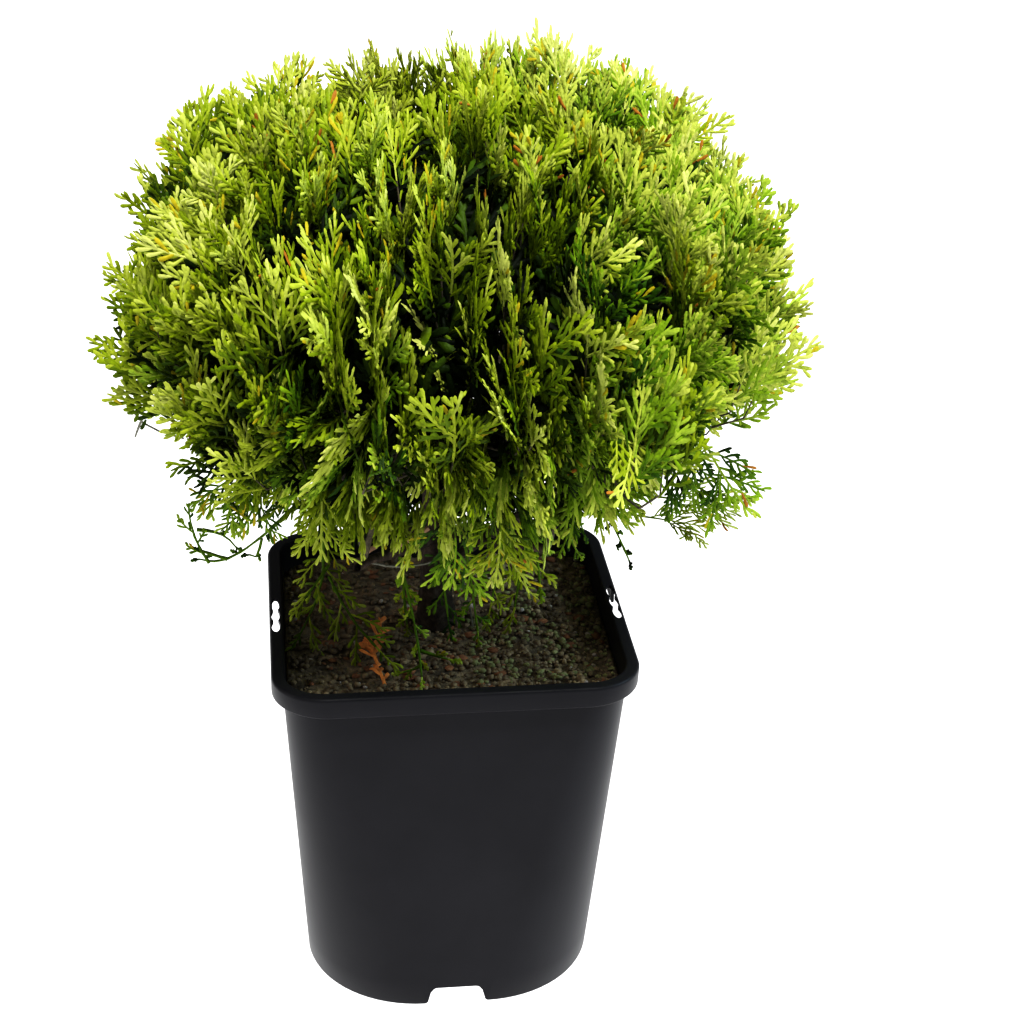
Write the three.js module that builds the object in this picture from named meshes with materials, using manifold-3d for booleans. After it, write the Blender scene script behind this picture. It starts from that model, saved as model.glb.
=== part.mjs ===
// Potted globe thuja: a moulded square-to-round nursery pot, its potting mix, a short tapering trunk
// with its boughs, and a bun-shaped crown cut into separate masses of foliage round an open middle.
// Millimetres, +Z up, origin at the centre of the pot's underside, the pot's front towards -Y.
import * as THREE from 'three';
import { mergeVertices } from 'three/addons/utils/BufferGeometryUtils.js';
import Module from 'manifold-3d';

const wasm = await Module();
wasm.setup();

// ---- driving dimensions ---------------------------------------------------------------------------
const GAP = 0.3; // clearance between pieces that touch
const CUT_CLEAR = 0.6; // the same, round the uneven faces of the foliage masses

const POT_HEIGHT = 185;
const FOOT_HALF = 70.9; // half width of the outer wall at the floor
const WALL_TOP_HALF = 80.3; // half width of the outer wall at the rim
const FOOT_CORNER = 55.6; // corner radius at the floor, so the foot is nearly round
const TOP_CORNER = 20; // corner radius of the wall at the rim, so the mouth is nearly square
const WALL = 1.5;
const CORNER_STEPS = 7; // facets round each corner

const RIM_HALF = 85;
const RIM_DROP = 10.3; // height of the skirt that turns down from the rim
const RIM_SKIN = 1.6;
const RIM_ROUND = 1.8;

const BASE_LIFT = 11; // underside of the base plate above the floor
const BASE_THICK = 1.6;
const FOOT_WIDTH = 2.4; // flat width of the foot ring
const FOOT_ROUND = 0.6;

const NOTCH_TOP = 24;
const NOTCH_BOTTOM = 29;
const NOTCH_HEIGHT = 10;
const NOTCH_ROUND = 2.5;

const GRIP_COUNT = 3; // overlapping oval holes in each side of the rim
const GRIP_PITCH = 10.4;
const GRIP_HALF_LENGTH = 6.2;
const GRIP_HALF_WIDTH = 2.1;
const GRIP_OUT = 81.9; // from the pot's axis to the middle of the ovals
const GRIP_MIDDLE = -4; // the row of ovals lies a little towards the front
const GRIP_WINDOW = 35; // length of the gap in the rim's skirt, outside the ovals
const GRIP_WINDOW_IN = 81.6; // from the pot's axis to the inner side of the gap
const GRIP_WINDOW_TOP = 2.2; // from the top of the rim to the top of the gap

const DRAIN_COUNT = 8;
const DRAIN_RADIUS = 4.5;
const DRAIN_RING = 46;

const MIX_LEVEL = 172; // top of the potting mix at the trunk
const MIX_ROUGH = 2.4; // how far the rest of the surface rises and falls
const MIX_RINGS = [0.86, 0.66, 0.46]; // rings of the uneven surface, as parts of its width
const MIX_FLAT = 0.28; // part of the width that is level, under the trunk

const TRUNK_FOOT = new THREE.Vector3(-4, 6, MIX_LEVEL + GAP);
const TRUNK_LOW_BEND = new THREE.Vector3(-4, 6, 235); // the trunk starts upright, then leans and sways back
const TRUNK_HIGH_BEND = new THREE.Vector3(-9, -3, 320);
const TRUNK_TIP = new THREE.Vector3(4, 2, 405);
const TRUNK_FOOT_RADIUS = 7.6;
const TRUNK_TIP_RADIUS = 2.4;
const FLARE = 0.55; // extra width of the root flare, as part of the foot radius
const FLARE_HEIGHT = 9;

const BOUGH_FOOT_RADIUS = 3.3;
const BOUGH_TIP_RADIUS = 1.9;
const BOUGH_BEND_AT = 0.55; // where a bough bends upwards, as a part of its length
const BOUGH_SAG = 0.12; // how far it hangs there, as a part of its length

const CROWN = new THREE.Vector3(3, 0, 338); // middle of the crown at its widest level
const CROWN_REACH = 159;
const CROWN_UP = 120;
const CROWN_DOWN = 118;
const CROWN_LEAN = 2; // how far the top stands over to the right
const TOP_POWER = 2.3; // 2 is an ellipse, more is flatter topped with fuller shoulders
const LOW_POWER = 1.8;
const LUMP = 4; // height of the lumps on the crown's surface
const TUFT = new THREE.Vector3(-1, -0.1, 0.06).normalize(); // towards the tuft that stands out on the left
const TUFT_HEIGHT = 6;
const TUFT_NARROW = 30; // higher is a narrower tuft

const HOLLOW = new THREE.Vector3(2, 0, 306); // middle of the open, bare inside of the crown
const HOLLOW_REACH = 92;
const HOLLOW_RISE = 84;
const WELL_RADIUS = 52; // opening under the crown, round the trunk

// One ring of foliage masses: how many, their height, their distance from the axis, the angle that
// the first stands at, and where on the trunk its boughs leave.
const RINGS = [
  { name: 'low', count: 5, height: 262, out: 104, turn: 20, leaves: 206, leavesStep: 4 },
  { name: 'mid', count: 6, height: 330, out: 126, turn: 48, leaves: 234, leavesStep: 5 },
  { name: 'high', count: 5, height: 398, out: 104, turn: 10, leaves: 268, leavesStep: 5 },
  { name: 'top', count: 3, height: 428, out: 38, turn: 75, leaves: 0, leavesStep: 0 },
];
const EDGE_POWER = 10; // higher is a sharper crease between a mass's faces
const JITTER = 7; // how far a mass stands off its even place in its ring
const SEED = 11;

// ---- finishes -------------------------------------------------------------------------------------
const POT_BLACK = { color: 0x2d2d31, roughness: 0.42 };
const MIX_BROWN = { color: 0x2b2019, roughness: 0.95 };
const BARK = { color: 0x6e5a45, roughness: 0.9 };
const GREENS = { low: 0x45702f, mid: 0x6f8f24, high: 0x8fa325, top: 0x9fae2a, hanging: 0x5c7c2c };

function foliageFinish(ring) {
  return { color: GREENS[ring], roughness: 0.6 };
}

// ---- helpers --------------------------------------------------------------------------------------
function seededRandom(seed) {
  let state = seed;
  return () => {
    state = (state * 1664525 + 1013904223) % 4294967296;
    return state / 4294967296;
  };
}

// The same surface with its shared corners joined.
function joined(geometry) {
  const bare = geometry.clone();
  bare.deleteAttribute('normal');
  bare.deleteAttribute('uv');
  return mergeVertices(bare, 1e-4);
}

function toManifold(geometry) {
  const merged = joined(geometry);
  const vertProperties = new Float32Array(merged.attributes.position.array);
  const triVerts = new Uint32Array(merged.index.array);
  return new wasm.Manifold(new wasm.Mesh({ numProp: 3, vertProperties, triVerts }));
}

function toGeometry(solid) {
  const { vertProperties, triVerts } = solid.getMesh();
  const geometry = new THREE.BufferGeometry();
  geometry.setAttribute('position', new THREE.BufferAttribute(vertProperties, 3));
  geometry.setIndex(new THREE.BufferAttribute(triVerts, 1));
  geometry.computeVertexNormals();
  return geometry;
}

// The part of a cut solid that holds the most material.
function largestPiece(solid) {
  return solid.decompose().reduce((best, piece) => (piece.volume() > best.volume() ? piece : best));
}

// Closed solid through rings of points, each ring anticlockwise seen from above, with a fan from a
// middle point over the first and the last.
function loft(rings, startMiddle, endMiddle) {
  const count = rings[0].length;
  const points = [...rings.flat(), startMiddle, endMiddle];
  const startIndex = points.length - 2;
  const endIndex = points.length - 1;
  const faces = [];
  for (let level = 0; level < rings.length - 1; level++) {
    for (let k = 0; k < count; k++) {
      const here = level * count + k;
      const next = level * count + ((k + 1) % count);
      faces.push(here, next, next + count);
      faces.push(here, next + count, here + count);
    }
  }
  const last = (rings.length - 1) * count;
  for (let k = 0; k < count; k++) {
    const next = (k + 1) % count;
    faces.push(startIndex, next, k);
    faces.push(endIndex, last + k, last + next);
  }
  const geometry = new THREE.BufferGeometry().setFromPoints(points);
  geometry.setIndex(faces);
  return geometry;
}

// A unit cylinder bent along a curve: its radius at each part of the way is radiusAt(part).
function limb(curve, radiusAt, sides, steps) {
  const geometry = new THREE.CylinderGeometry(1, 1, 1, sides, steps);
  const frames = curve.computeFrenetFrames(steps, false);
  const position = geometry.attributes.position;
  const point = new THREE.Vector3();
  for (let i = 0; i < position.count; i++) {
    const part = position.getY(i) + 0.5;
    const step = Math.round(part * steps);
    const radius = radiusAt(part);
    curve.getPointAt(part, point);
    point.addScaledVector(frames.binormals[step], position.getX(i) * radius);
    point.addScaledVector(frames.normals[step], position.getZ(i) * radius);
    position.setXYZ(i, point.x, point.y, point.z);
  }
  return geometry;
}

const group = new THREE.Group();

function addPart(name, geometry, finish) {
  const mesh = new THREE.Mesh(geometry, new THREE.MeshStandardMaterial({ metalness: 0, ...finish }));
  mesh.name = name;
  group.add(mesh);
}

// ---- pot ------------------------------------------------------------------------------------------
function wallHalf(z) {
  return THREE.MathUtils.lerp(FOOT_HALF, WALL_TOP_HALF, z / POT_HEIGHT);
}

// Rounded square at height z. Its corners share their centres with those of the outer wall there.
function roundedSquare(half, z) {
  const corner = THREE.MathUtils.lerp(FOOT_CORNER, TOP_CORNER, z / POT_HEIGHT) + half - wallHalf(z);
  const points = [];
  for (let quarter = 0; quarter < 4; quarter++) {
    const middle = (quarter + 0.5) * Math.PI / 2;
    const centreX = Math.sign(Math.cos(middle)) * (half - corner);
    const centreY = Math.sign(Math.sin(middle)) * (half - corner);
    for (let step = 0; step <= CORNER_STEPS; step++) {
      const angle = (quarter + step / CORNER_STEPS) * Math.PI / 2;
      const x = centreX + corner * Math.cos(angle);
      const y = centreY + corner * Math.sin(angle);
      points.push(new THREE.Vector3(x, y, z));
    }
  }
  return points;
}

// Outer wall, rim with its turned-down skirt, inner wall and raised base plate, as one thin shell.
function potShell() {
  const flangeUnder = POT_HEIGHT - RIM_SKIN;
  const skirtFoot = POT_HEIGHT - RIM_DROP;
  const baseTop = BASE_LIFT + BASE_THICK;
  const footOuter = FOOT_HALF - FOOT_ROUND;
  const innerTop = WALL_TOP_HALF - WALL;
  const profile = [
    [wallHalf(BASE_LIFT) - WALL, BASE_LIFT],
    [footOuter - FOOT_WIDTH, 0],
    [footOuter, 0],
    [wallHalf(FOOT_ROUND * 2), FOOT_ROUND * 2],
    [wallHalf(POT_HEIGHT / 2), POT_HEIGHT / 2],
    [wallHalf(flangeUnder), flangeUnder],
    [RIM_HALF - RIM_SKIN, flangeUnder],
    [RIM_HALF - RIM_SKIN, skirtFoot],
    [RIM_HALF, skirtFoot],
    [RIM_HALF, POT_HEIGHT - RIM_ROUND],
    [RIM_HALF - RIM_ROUND * 0.3, POT_HEIGHT - RIM_ROUND * 0.3],
    [RIM_HALF - RIM_ROUND, POT_HEIGHT],
    [innerTop + RIM_ROUND / 2, POT_HEIGHT],
    [innerTop, POT_HEIGHT - RIM_ROUND / 2],
    [wallHalf(POT_HEIGHT / 2) - WALL, POT_HEIGHT / 2],
    [wallHalf(baseTop) - WALL, baseTop],
  ];
  const rings = profile.map(([half, z]) => roundedSquare(half, z));
  return loft(rings, new THREE.Vector3(0, 0, BASE_LIFT), new THREE.Vector3(0, 0, baseTop));
}

// Trapezoidal cut through the foot ring, front and back, that lets water out.
function footNotches() {
  const outline = new THREE.Shape();
  const slope = (NOTCH_BOTTOM - NOTCH_TOP) / 2 / NOTCH_HEIGHT;
  const below = 2;
  outline.moveTo(NOTCH_BOTTOM / 2 + slope * below, -below);
  outline.lineTo(NOTCH_TOP / 2 + slope * NOTCH_ROUND, NOTCH_HEIGHT - NOTCH_ROUND);
  outline.quadraticCurveTo(NOTCH_TOP / 2, NOTCH_HEIGHT, NOTCH_TOP / 2 - NOTCH_ROUND, NOTCH_HEIGHT);
  outline.lineTo(NOTCH_ROUND - NOTCH_TOP / 2, NOTCH_HEIGHT);
  outline.quadraticCurveTo(-NOTCH_TOP / 2, NOTCH_HEIGHT, -NOTCH_TOP / 2 - slope * NOTCH_ROUND,
    NOTCH_HEIGHT - NOTCH_ROUND);
  outline.lineTo(-NOTCH_BOTTOM / 2 - slope * below, -below);
  const length = 3 * FOOT_HALF;
  const options = { depth: length, bevelEnabled: false, curveSegments: 3 };
  const geometry = new THREE.ExtrudeGeometry(outline, options);
  geometry.rotateX(Math.PI / 2);
  geometry.translate(0, length / 2, 0);
  return toManifold(geometry);
}

function gripHole(side, place) {
  const geometry = new THREE.CylinderGeometry(1, 1, 4 * RIM_SKIN, 10);
  geometry.rotateX(Math.PI / 2);
  geometry.scale(GRIP_HALF_WIDTH, GRIP_HALF_LENGTH, 1);
  const along = GRIP_MIDDLE + (place - (GRIP_COUNT - 1) / 2) * GRIP_PITCH;
  geometry.translate(side * GRIP_OUT, along, POT_HEIGHT - RIM_SKIN / 2);
  return toManifold(geometry);
}

function gripWindow(side) {
  const width = RIM_HALF + RIM_SKIN - GRIP_WINDOW_IN;
  const height = RIM_DROP + RIM_SKIN - GRIP_WINDOW_TOP;
  const geometry = new THREE.BoxGeometry(width, GRIP_WINDOW, height);
  const out = side * (GRIP_WINDOW_IN + width / 2);
  geometry.translate(out, GRIP_MIDDLE, POT_HEIGHT - GRIP_WINDOW_TOP - height / 2);
  return toManifold(geometry);
}

function drainHole(index) {
  const angle = (index + 0.5) / DRAIN_COUNT * Math.PI * 2;
  const geometry = new THREE.CylinderGeometry(DRAIN_RADIUS, DRAIN_RADIUS, 4 * BASE_THICK, 8);
  geometry.rotateX(Math.PI / 2);
  geometry.translate(DRAIN_RING * Math.cos(angle), DRAIN_RING * Math.sin(angle), BASE_LIFT + BASE_THICK / 2);
  return toManifold(geometry);
}

function pot() {
  let solid = toManifold(potShell()).subtract(footNotches());
  for (const side of [-1, 1]) {
    solid = solid.subtract(gripWindow(side));
    for (let place = 0; place < GRIP_COUNT; place++) {
      solid = solid.subtract(gripHole(side, place));
    }
  }
  for (let index = 0; index < DRAIN_COUNT; index++) {
    solid = solid.subtract(drainHole(index));
  }
  return toGeometry(solid);
}

// ---- potting mix ----------------------------------------------------------------------------------
// Fills the pot, with a surface that rises and falls except where the trunk stands on it.
function pottingMix() {
  const inside = (z) => roundedSquare(wallHalf(z) - WALL - GAP, z);
  const bottom = BASE_LIFT + BASE_THICK + GAP;
  const edge = inside(MIX_LEVEL);
  const ripple = (p) => MIX_ROUGH * Math.sin(p.x * 0.11 + 1) * Math.cos(p.y * 0.09 - 0.6);
  const surface = (part, rough) => edge.map((p) => {
    const point = new THREE.Vector3(p.x * part, p.y * part, MIX_LEVEL);
    point.z += rough * ripple(point);
    return point;
  });
  const rings = [inside(bottom), inside((bottom + MIX_LEVEL) / 2), edge];
  for (const part of MIX_RINGS) {
    rings.push(surface(part, 1));
  }
  rings.push(surface(MIX_FLAT, 0));
  return loft(rings, new THREE.Vector3(0, 0, bottom), new THREE.Vector3(0, 0, MIX_LEVEL));
}

// ---- trunk ----------------------------------------------------------------------------------------
const trunkCurve = new THREE.CubicBezierCurve3(
  TRUNK_FOOT,
  TRUNK_LOW_BEND,
  TRUNK_HIGH_BEND,
  TRUNK_TIP,
);

function trunkRadius(part) {
  const taper = THREE.MathUtils.lerp(TRUNK_FOOT_RADIUS, TRUNK_TIP_RADIUS, part);
  const flare = FLARE * Math.exp(-part * trunkCurve.getLength() / FLARE_HEIGHT);
  return taper * (1 + flare);
}

// The trunk, or with clear above 0 the space that it needs round it.
function trunkSolid(clear) {
  return toManifold(limb(trunkCurve, (part) => trunkRadius(part) + clear, 10, 14));
}

function trunkPointAt(height) {
  const samples = 200;
  const points = trunkCurve.getPoints(samples);
  return points.find((point) => point.z >= height);
}

// ---- foliage masses -------------------------------------------------------------------------------
// Below 1 inside the crown's outline, above 1 outside it.
function crownLevel(point) {
  const rise = point.z - CROWN.z;
  const axis = CROWN.x + CROWN_LEAN * Math.max(rise, 0) / CROWN_UP;
  const out = Math.hypot(point.x - axis, point.y - CROWN.y) / CROWN_REACH;
  const height = Math.abs(rise) / (rise > 0 ? CROWN_UP : CROWN_DOWN);
  const power = rise > 0 ? TOP_POWER : LOW_POWER;
  return out ** power + height ** power;
}

// True in the bare middle of the crown and in the opening under it.
function isOpen(point) {
  const out = Math.hypot(point.x - HOLLOW.x, point.y - HOLLOW.y);
  const rise = point.z - HOLLOW.z;
  const inHollow = (out / HOLLOW_REACH) ** 2 + (rise / HOLLOW_RISE) ** 2 < 1;
  return inHollow || (out < WELL_RADIUS && rise < 0);
}

function lumpAt(point) {
  const wide = Math.sin(point.x * 0.045 + 0.7) * Math.sin(point.y * 0.05 + 1.9) * Math.cos(point.z * 0.04);
  const fine = Math.sin(point.x * 0.12 + 2) * Math.sin(point.y * 0.13) * Math.cos(point.z * 0.11 + 1);
  const facing = new THREE.Vector3().subVectors(point, CROWN).normalize().dot(TUFT);
  const tuft = TUFT_HEIGHT * Math.max(facing, 0) ** TUFT_NARROW;
  return LUMP * (0.6 * wide + 0.4 * fine - 0.5) + tuft;
}

function distanceToOutline(from, direction) {
  let near = 0;
  let far = 2 * CROWN_REACH;
  const point = new THREE.Vector3();
  while (far - near > 0.05) {
    const middle = (near + far) / 2;
    point.copy(from).addScaledVector(direction, middle);
    if (crownLevel(point) < 1) {
      near = middle;
    } else {
      far = middle;
    }
  }
  return near + lumpAt(point);
}

function distanceToHollow(from, direction, limit) {
  const step = 1;
  const point = new THREE.Vector3();
  for (let distance = 0; distance < limit; distance += step) {
    point.copy(from).addScaledVector(direction, distance);
    if (isOpen(point)) {
      return distance;
    }
  }
  return Infinity;
}

// Half a gap short of the plane that lies midway between two masses.
function distanceToNeighbour(from, direction, other) {
  const across = new THREE.Vector3().subVectors(other, from);
  const length = across.length();
  const closing = direction.dot(across) / length;
  return closing > 1e-3 ? (length / 2 - GAP / 2) / closing : Infinity;
}

// A solid that spreads from its centre until it nears the crown's outline, the hollow or a neighbour.
function foliageMass(centre, centres) {
  const geometry = new THREE.IcosahedronGeometry(1, 2);
  const position = geometry.attributes.position;
  const direction = new THREE.Vector3();
  for (let i = 0; i < position.count; i++) {
    direction.fromBufferAttribute(position, i).normalize();
    const outline = distanceToOutline(centre, direction);
    const limits = [outline, distanceToHollow(centre, direction, outline)];
    for (const other of centres) {
      if (other !== centre) {
        limits.push(distanceToNeighbour(centre, direction, other));
      }
    }
    const sum = limits.reduce((total, limit) => total + limit ** -EDGE_POWER, 0);
    direction.multiplyScalar(sum ** (-1 / EDGE_POWER)).add(centre);
    position.setXYZ(i, direction.x, direction.y, direction.z);
  }
  return geometry;
}

function massCentres(ring, random) {
  const centres = [];
  for (let index = 0; index < ring.count; index++) {
    const angle = THREE.MathUtils.degToRad(ring.turn + 360 * index / ring.count);
    centres.push(new THREE.Vector3(
      CROWN.x + ring.out * Math.cos(angle) + JITTER * (random() - 0.5),
      CROWN.y + ring.out * Math.sin(angle) + JITTER * (random() - 0.5),
      ring.height + JITTER * (random() - 0.5),
    ));
  }
  return centres;
}

// The mass made a little larger all round, to cut what ends against it.
function withClearance(geometry) {
  const grown = joined(geometry);
  grown.computeVertexNormals();
  const { position, normal } = grown.attributes;
  const vertex = new THREE.Vector3();
  const outward = new THREE.Vector3();
  for (let i = 0; i < position.count; i++) {
    vertex.fromBufferAttribute(position, i);
    outward.fromBufferAttribute(normal, i);
    vertex.addScaledVector(outward, CUT_CLEAR);
    position.setXYZ(i, vertex.x, vertex.y, vertex.z);
  }
  return toManifold(grown);
}

// ---- boughs ---------------------------------------------------------------------------------------
// From the trunk out to the middle of a mass, rising more steeply near its end, before it is cut.
// With clear above 0 it is the space that the bough needs round it.
function boughSolid(height, centre, clear) {
  const foot = trunkPointAt(height);
  const bend = new THREE.Vector3().lerpVectors(foot, centre, BOUGH_BEND_AT);
  bend.z -= BOUGH_SAG * foot.distanceTo(centre);
  const curve = new THREE.QuadraticBezierCurve3(foot, bend, centre);
  const radiusAt = (part) => THREE.MathUtils.lerp(BOUGH_FOOT_RADIUS, BOUGH_TIP_RADIUS, part) + clear;
  return toManifold(limb(curve, radiusAt, 7, 6));
}

// ---- sprays that hang below the crown ---------------------------------------------------------------
// Each is a flattened, uneven solid from its root, which is inside a mass, down to its tip.
const HANGING = [
  { name: 'left', root: [-92, -22, 262], bend: [-108, -18, 204], tip: [-129, -16, 236], width: 9 },
  { name: 'pot_left', root: [-78, 2, 262], bend: [-66, -4, 206], tip: [-60, -8, 181], width: 16 },
  { name: 'pot_middle', root: [-26, -80, 262], bend: [-20, -50, 212], tip: [-14, -40, 181], width: 10 },
  { name: 'pot_right', root: [34, -58, 250], bend: [36, -34, 214], tip: [38, -22, 182], width: 20 },
];
const HANGING_THICK = 0.42; // thickness of a spray as part of its width
const HANGING_ROOT = 0.45; // width of its root as part of its greatest width
const HANGING_LEAST = 1.2; // half thickness at its thinnest

function hangingSpray(spray) {
  const [root, bend, tip] = [spray.root, spray.bend, spray.tip].map((p) => new THREE.Vector3(...p));
  const curve = new THREE.QuadraticBezierCurve3(root, bend, tip);
  const swell = (part) => HANGING_ROOT + (1 - HANGING_ROOT) * Math.sin(Math.PI * Math.min(1, part ** 1.6));
  const geometry = limb(curve, (part) => Math.max(spray.width * swell(part) / 2, HANGING_LEAST), 8, 7);
  const position = geometry.attributes.position;
  const spine = curve.getSpacedPoints(60);
  const point = new THREE.Vector3();
  for (let i = 0; i < position.count; i++) {
    point.fromBufferAttribute(position, i);
    const near = spine.reduce((best, p) => (p.distanceTo(point) < best.distanceTo(point) ? p : best));
    const y = near.y + (point.y - near.y) * HANGING_THICK;
    const x = near.x + (point.x - near.x) * 2;
    position.setXYZ(i, x, y, point.z);
  }
  return toManifold(geometry);
}

// ---- assembly -------------------------------------------------------------------------------------
addPart('pot', pot(), POT_BLACK);
addPart('potting_mix', pottingMix(), MIX_BROWN);

const random = seededRandom(SEED);
const ringCentres = RINGS.map((ring) => massCentres(ring, random));
const allCentres = ringCentres.flat();
const masses = allCentres.map((centre) => foliageMass(centre, allCentres));
const massCuts = masses.map(withClearance);
const crownCut = massCuts.reduce((total, cut) => total.add(cut));

addPart('trunk', toGeometry(largestPiece(trunkSolid(0).subtract(crownCut))), BARK);

const trunkCut = trunkSolid(GAP);
let limbsCut = trunkCut;
let massIndex = 0;
RINGS.forEach((ring, ringIndex) => {
  ringCentres[ringIndex].forEach((centre, index) => {
    addPart(`foliage_${ring.name}_${index + 1}`, masses[massIndex], foliageFinish(ring.name));
    if (ring.leaves > 0) {
      const height = ring.leaves + ring.leavesStep * index;
      const cut = boughSolid(height, centre, 0).subtract(trunkCut).subtract(crownCut);
      limbsCut = limbsCut.add(boughSolid(height, centre, GAP));
      addPart(`bough_${ring.name}_${index + 1}`, toGeometry(largestPiece(cut)), BARK);
    }
    massIndex += 1;
  });
});

for (const spray of HANGING) {
  const cut = hangingSpray(spray).subtract(crownCut).subtract(limbsCut);
  addPart(`hanging_spray_${spray.name}`, toGeometry(largestPiece(cut)), foliageFinish('hanging'));
}

export default group;
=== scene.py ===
"""Potted globe thuja: fine pot, rough potting mix, bark-covered limbs, and a crown of flat fan-like sprays.

Metres, +Z up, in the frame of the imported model. The limbs and the foliage grow from the CAD nodes'
own meshes by seeded rules, so every run gives the same plant.
"""
import math

import bpy
import numpy as np
from mathutils import Matrix, Vector, noise
from mathutils.bvhtree import BVHTree


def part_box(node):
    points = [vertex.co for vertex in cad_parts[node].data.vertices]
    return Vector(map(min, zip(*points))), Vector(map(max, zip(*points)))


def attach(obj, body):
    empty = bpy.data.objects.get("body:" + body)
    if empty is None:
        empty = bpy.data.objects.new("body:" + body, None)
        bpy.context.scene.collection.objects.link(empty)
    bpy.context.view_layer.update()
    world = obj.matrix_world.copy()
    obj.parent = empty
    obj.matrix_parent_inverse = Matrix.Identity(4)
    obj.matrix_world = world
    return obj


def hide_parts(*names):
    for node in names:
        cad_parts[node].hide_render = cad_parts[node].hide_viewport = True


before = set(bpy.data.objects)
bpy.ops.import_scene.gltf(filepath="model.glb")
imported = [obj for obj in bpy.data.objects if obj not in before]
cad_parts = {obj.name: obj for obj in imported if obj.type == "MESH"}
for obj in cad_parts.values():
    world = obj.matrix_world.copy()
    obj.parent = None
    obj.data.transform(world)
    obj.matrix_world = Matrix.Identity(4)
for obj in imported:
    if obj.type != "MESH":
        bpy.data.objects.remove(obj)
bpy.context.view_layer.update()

NODES = sorted(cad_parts)
MASSES = [n for n in NODES if n.startswith("foliage_")]
HANGING = [n for n in NODES if n.startswith("hanging_spray_")]
BOUGHS = [n for n in NODES if n.startswith("bough_")]
BODY = "root"
UP = np.array((0.0, 0.0, 1.0))
MM = 0.001

# ---- pot: the CAD's driving dimensions ----
POT_HEIGHT = 0.185
FOOT_HALF, WALL_TOP_HALF = 0.0709, 0.0803
FOOT_CORNER, TOP_CORNER = 0.0556, 0.020
WALL = 0.0015
RIM_HALF, RIM_DROP, RIM_SKIN, RIM_ROUND = 0.085, 0.0103, 0.0016, 0.0018
BASE_LIFT, BASE_THICK = 0.011, 0.0016
FOOT_WIDTH, FOOT_ROUND = 0.0024, 0.0006
NOTCH_TOP, NOTCH_BOTTOM, NOTCH_HEIGHT = 0.024, 0.029, 0.010
NOTCH_ROUND, NOTCH_FLARE = 0.0025, 0.002
GRIP_COUNT, GRIP_PITCH, GRIP_OUT, GRIP_MIDDLE = 3, 0.0104, 0.0819, -0.004
GRIP_HALF_LENGTH, GRIP_HALF_WIDTH = 0.0062, 0.0021
GRIP_WINDOW, GRIP_WINDOW_IN, GRIP_WINDOW_TOP = 0.035, 0.0816, 0.0022
DRAIN_COUNT, DRAIN_RADIUS, DRAIN_RING = 8, 0.0045, 0.046
MIX_LEVEL, MIX_SHOULDER, MIX_FOOT, MIX_GAP = 0.172, 0.150, 0.0132, 0.0003

# ---- foliage ----
SPRAY_WIDE = 0.0105  # spacing of the sprays round the crown
SPRAY_TALL = 0.0225  # spacing of the sprays up the crown
SPRAY_LENGTH = 0.056  # from a spray's root to its tip
FROND_LENGTH = 0.030
FIRST_SIDE, SIDE_STEP = 0.0195, 0.0072  # from a spray's tip back to its side fronds
FORK_BACK = 0.041  # from its tip back to the end of its twig
TUFT_SPACING = 0.034
SAMPLE_AREA = 6e-6  # of the masses' surface for each place that a spray may take
LOBE_WIDTH = 0.0017
RIDGE = 0.48  # thickness of a lobe as a part of its width
MASS_LIMIT = 180000  # most triangles in one joined piece
LIT_SIDE = np.array((0.0, -0.8, 0.6))  # the ridged faces of the sprays look this way
MASS_GAP = 0.012  # a mass's surface that has a neighbour nearer than this bears no sprays
TWIG_REACH = 0.016  # how far inside its lowest fork a spray's stem starts
LIMB_END, TWIG_END = 0.0018, 0.0006  # radius of the twigs at a bough, and at a spray
STEM_RADII = np.linspace(TWIG_END, 0.0004, 3)
POT_CLEARANCE = 0.006  # between the pot's wall and the fronds that hang into it


# ---- helpers ----
def unit(v):
    return v / np.maximum(np.linalg.norm(v, axis=-1, keepdims=True), 1e-12)


def lerp(a, b, part):
    return a + (b - a) * part


def smooth_step(value, low, high):
    part = np.clip((value - low) / (high - low), 0, 1)
    return part * part * (3 - 2 * part)


def square_to(v, axis):
    """The part of each vector that is square to its axis, of length 1."""
    return unit(v - axis * np.sum(v * axis, -1, keepdims=True))


def length_along(points):
    """How far along its line each point is."""
    return np.concatenate([[0], np.cumsum(np.linalg.norm(np.diff(points, axis=0), axis=1))])


def closed_rings(rings, sides):
    """Quads between rings of points that follow each other."""
    level, k = np.meshgrid(np.arange(rings - 1), np.arange(sides), indexing="ij")
    here = level * sides + k
    after = level * sides + (k + 1) % sides
    return np.stack([here, after, after + sides, here + sides], -1).reshape(-1, 4)


def node_points(name):
    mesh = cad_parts[name].data
    points = np.zeros(len(mesh.vertices) * 3, np.float32)
    mesh.vertices.foreach_get("co", points)
    return points.reshape(-1, 3).astype(float)


def new_object(name, data):
    made = bpy.data.objects.new(name, data)
    bpy.context.scene.collection.objects.link(made)
    return made


def mesh_object(name, points, *faces, smooth=True):
    """Mesh object from an array of points and arrays of faces, each with its own number of corners."""
    faces = [np.asarray(f, dtype=np.int32) for f in faces if len(f)]
    mesh = bpy.data.meshes.new(name)
    mesh.vertices.add(len(points))
    mesh.vertices.foreach_set("co", np.asarray(points, np.float32).ravel())
    corners = np.concatenate([f.ravel() for f in faces])
    sizes = np.concatenate([np.full(len(f), f.shape[1], np.int32) for f in faces])
    starts = np.concatenate([[0], np.cumsum(sizes)[:-1]]).astype(np.int32)
    mesh.loops.add(len(corners))
    mesh.loops.foreach_set("vertex_index", corners)
    mesh.polygons.add(len(sizes))
    mesh.polygons.foreach_set("loop_start", starts)
    mesh.polygons.foreach_set("loop_total", sizes)
    mesh.update(calc_edges=True)
    if smooth:
        mesh.shade_smooth()
    return new_object(name, mesh)


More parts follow.
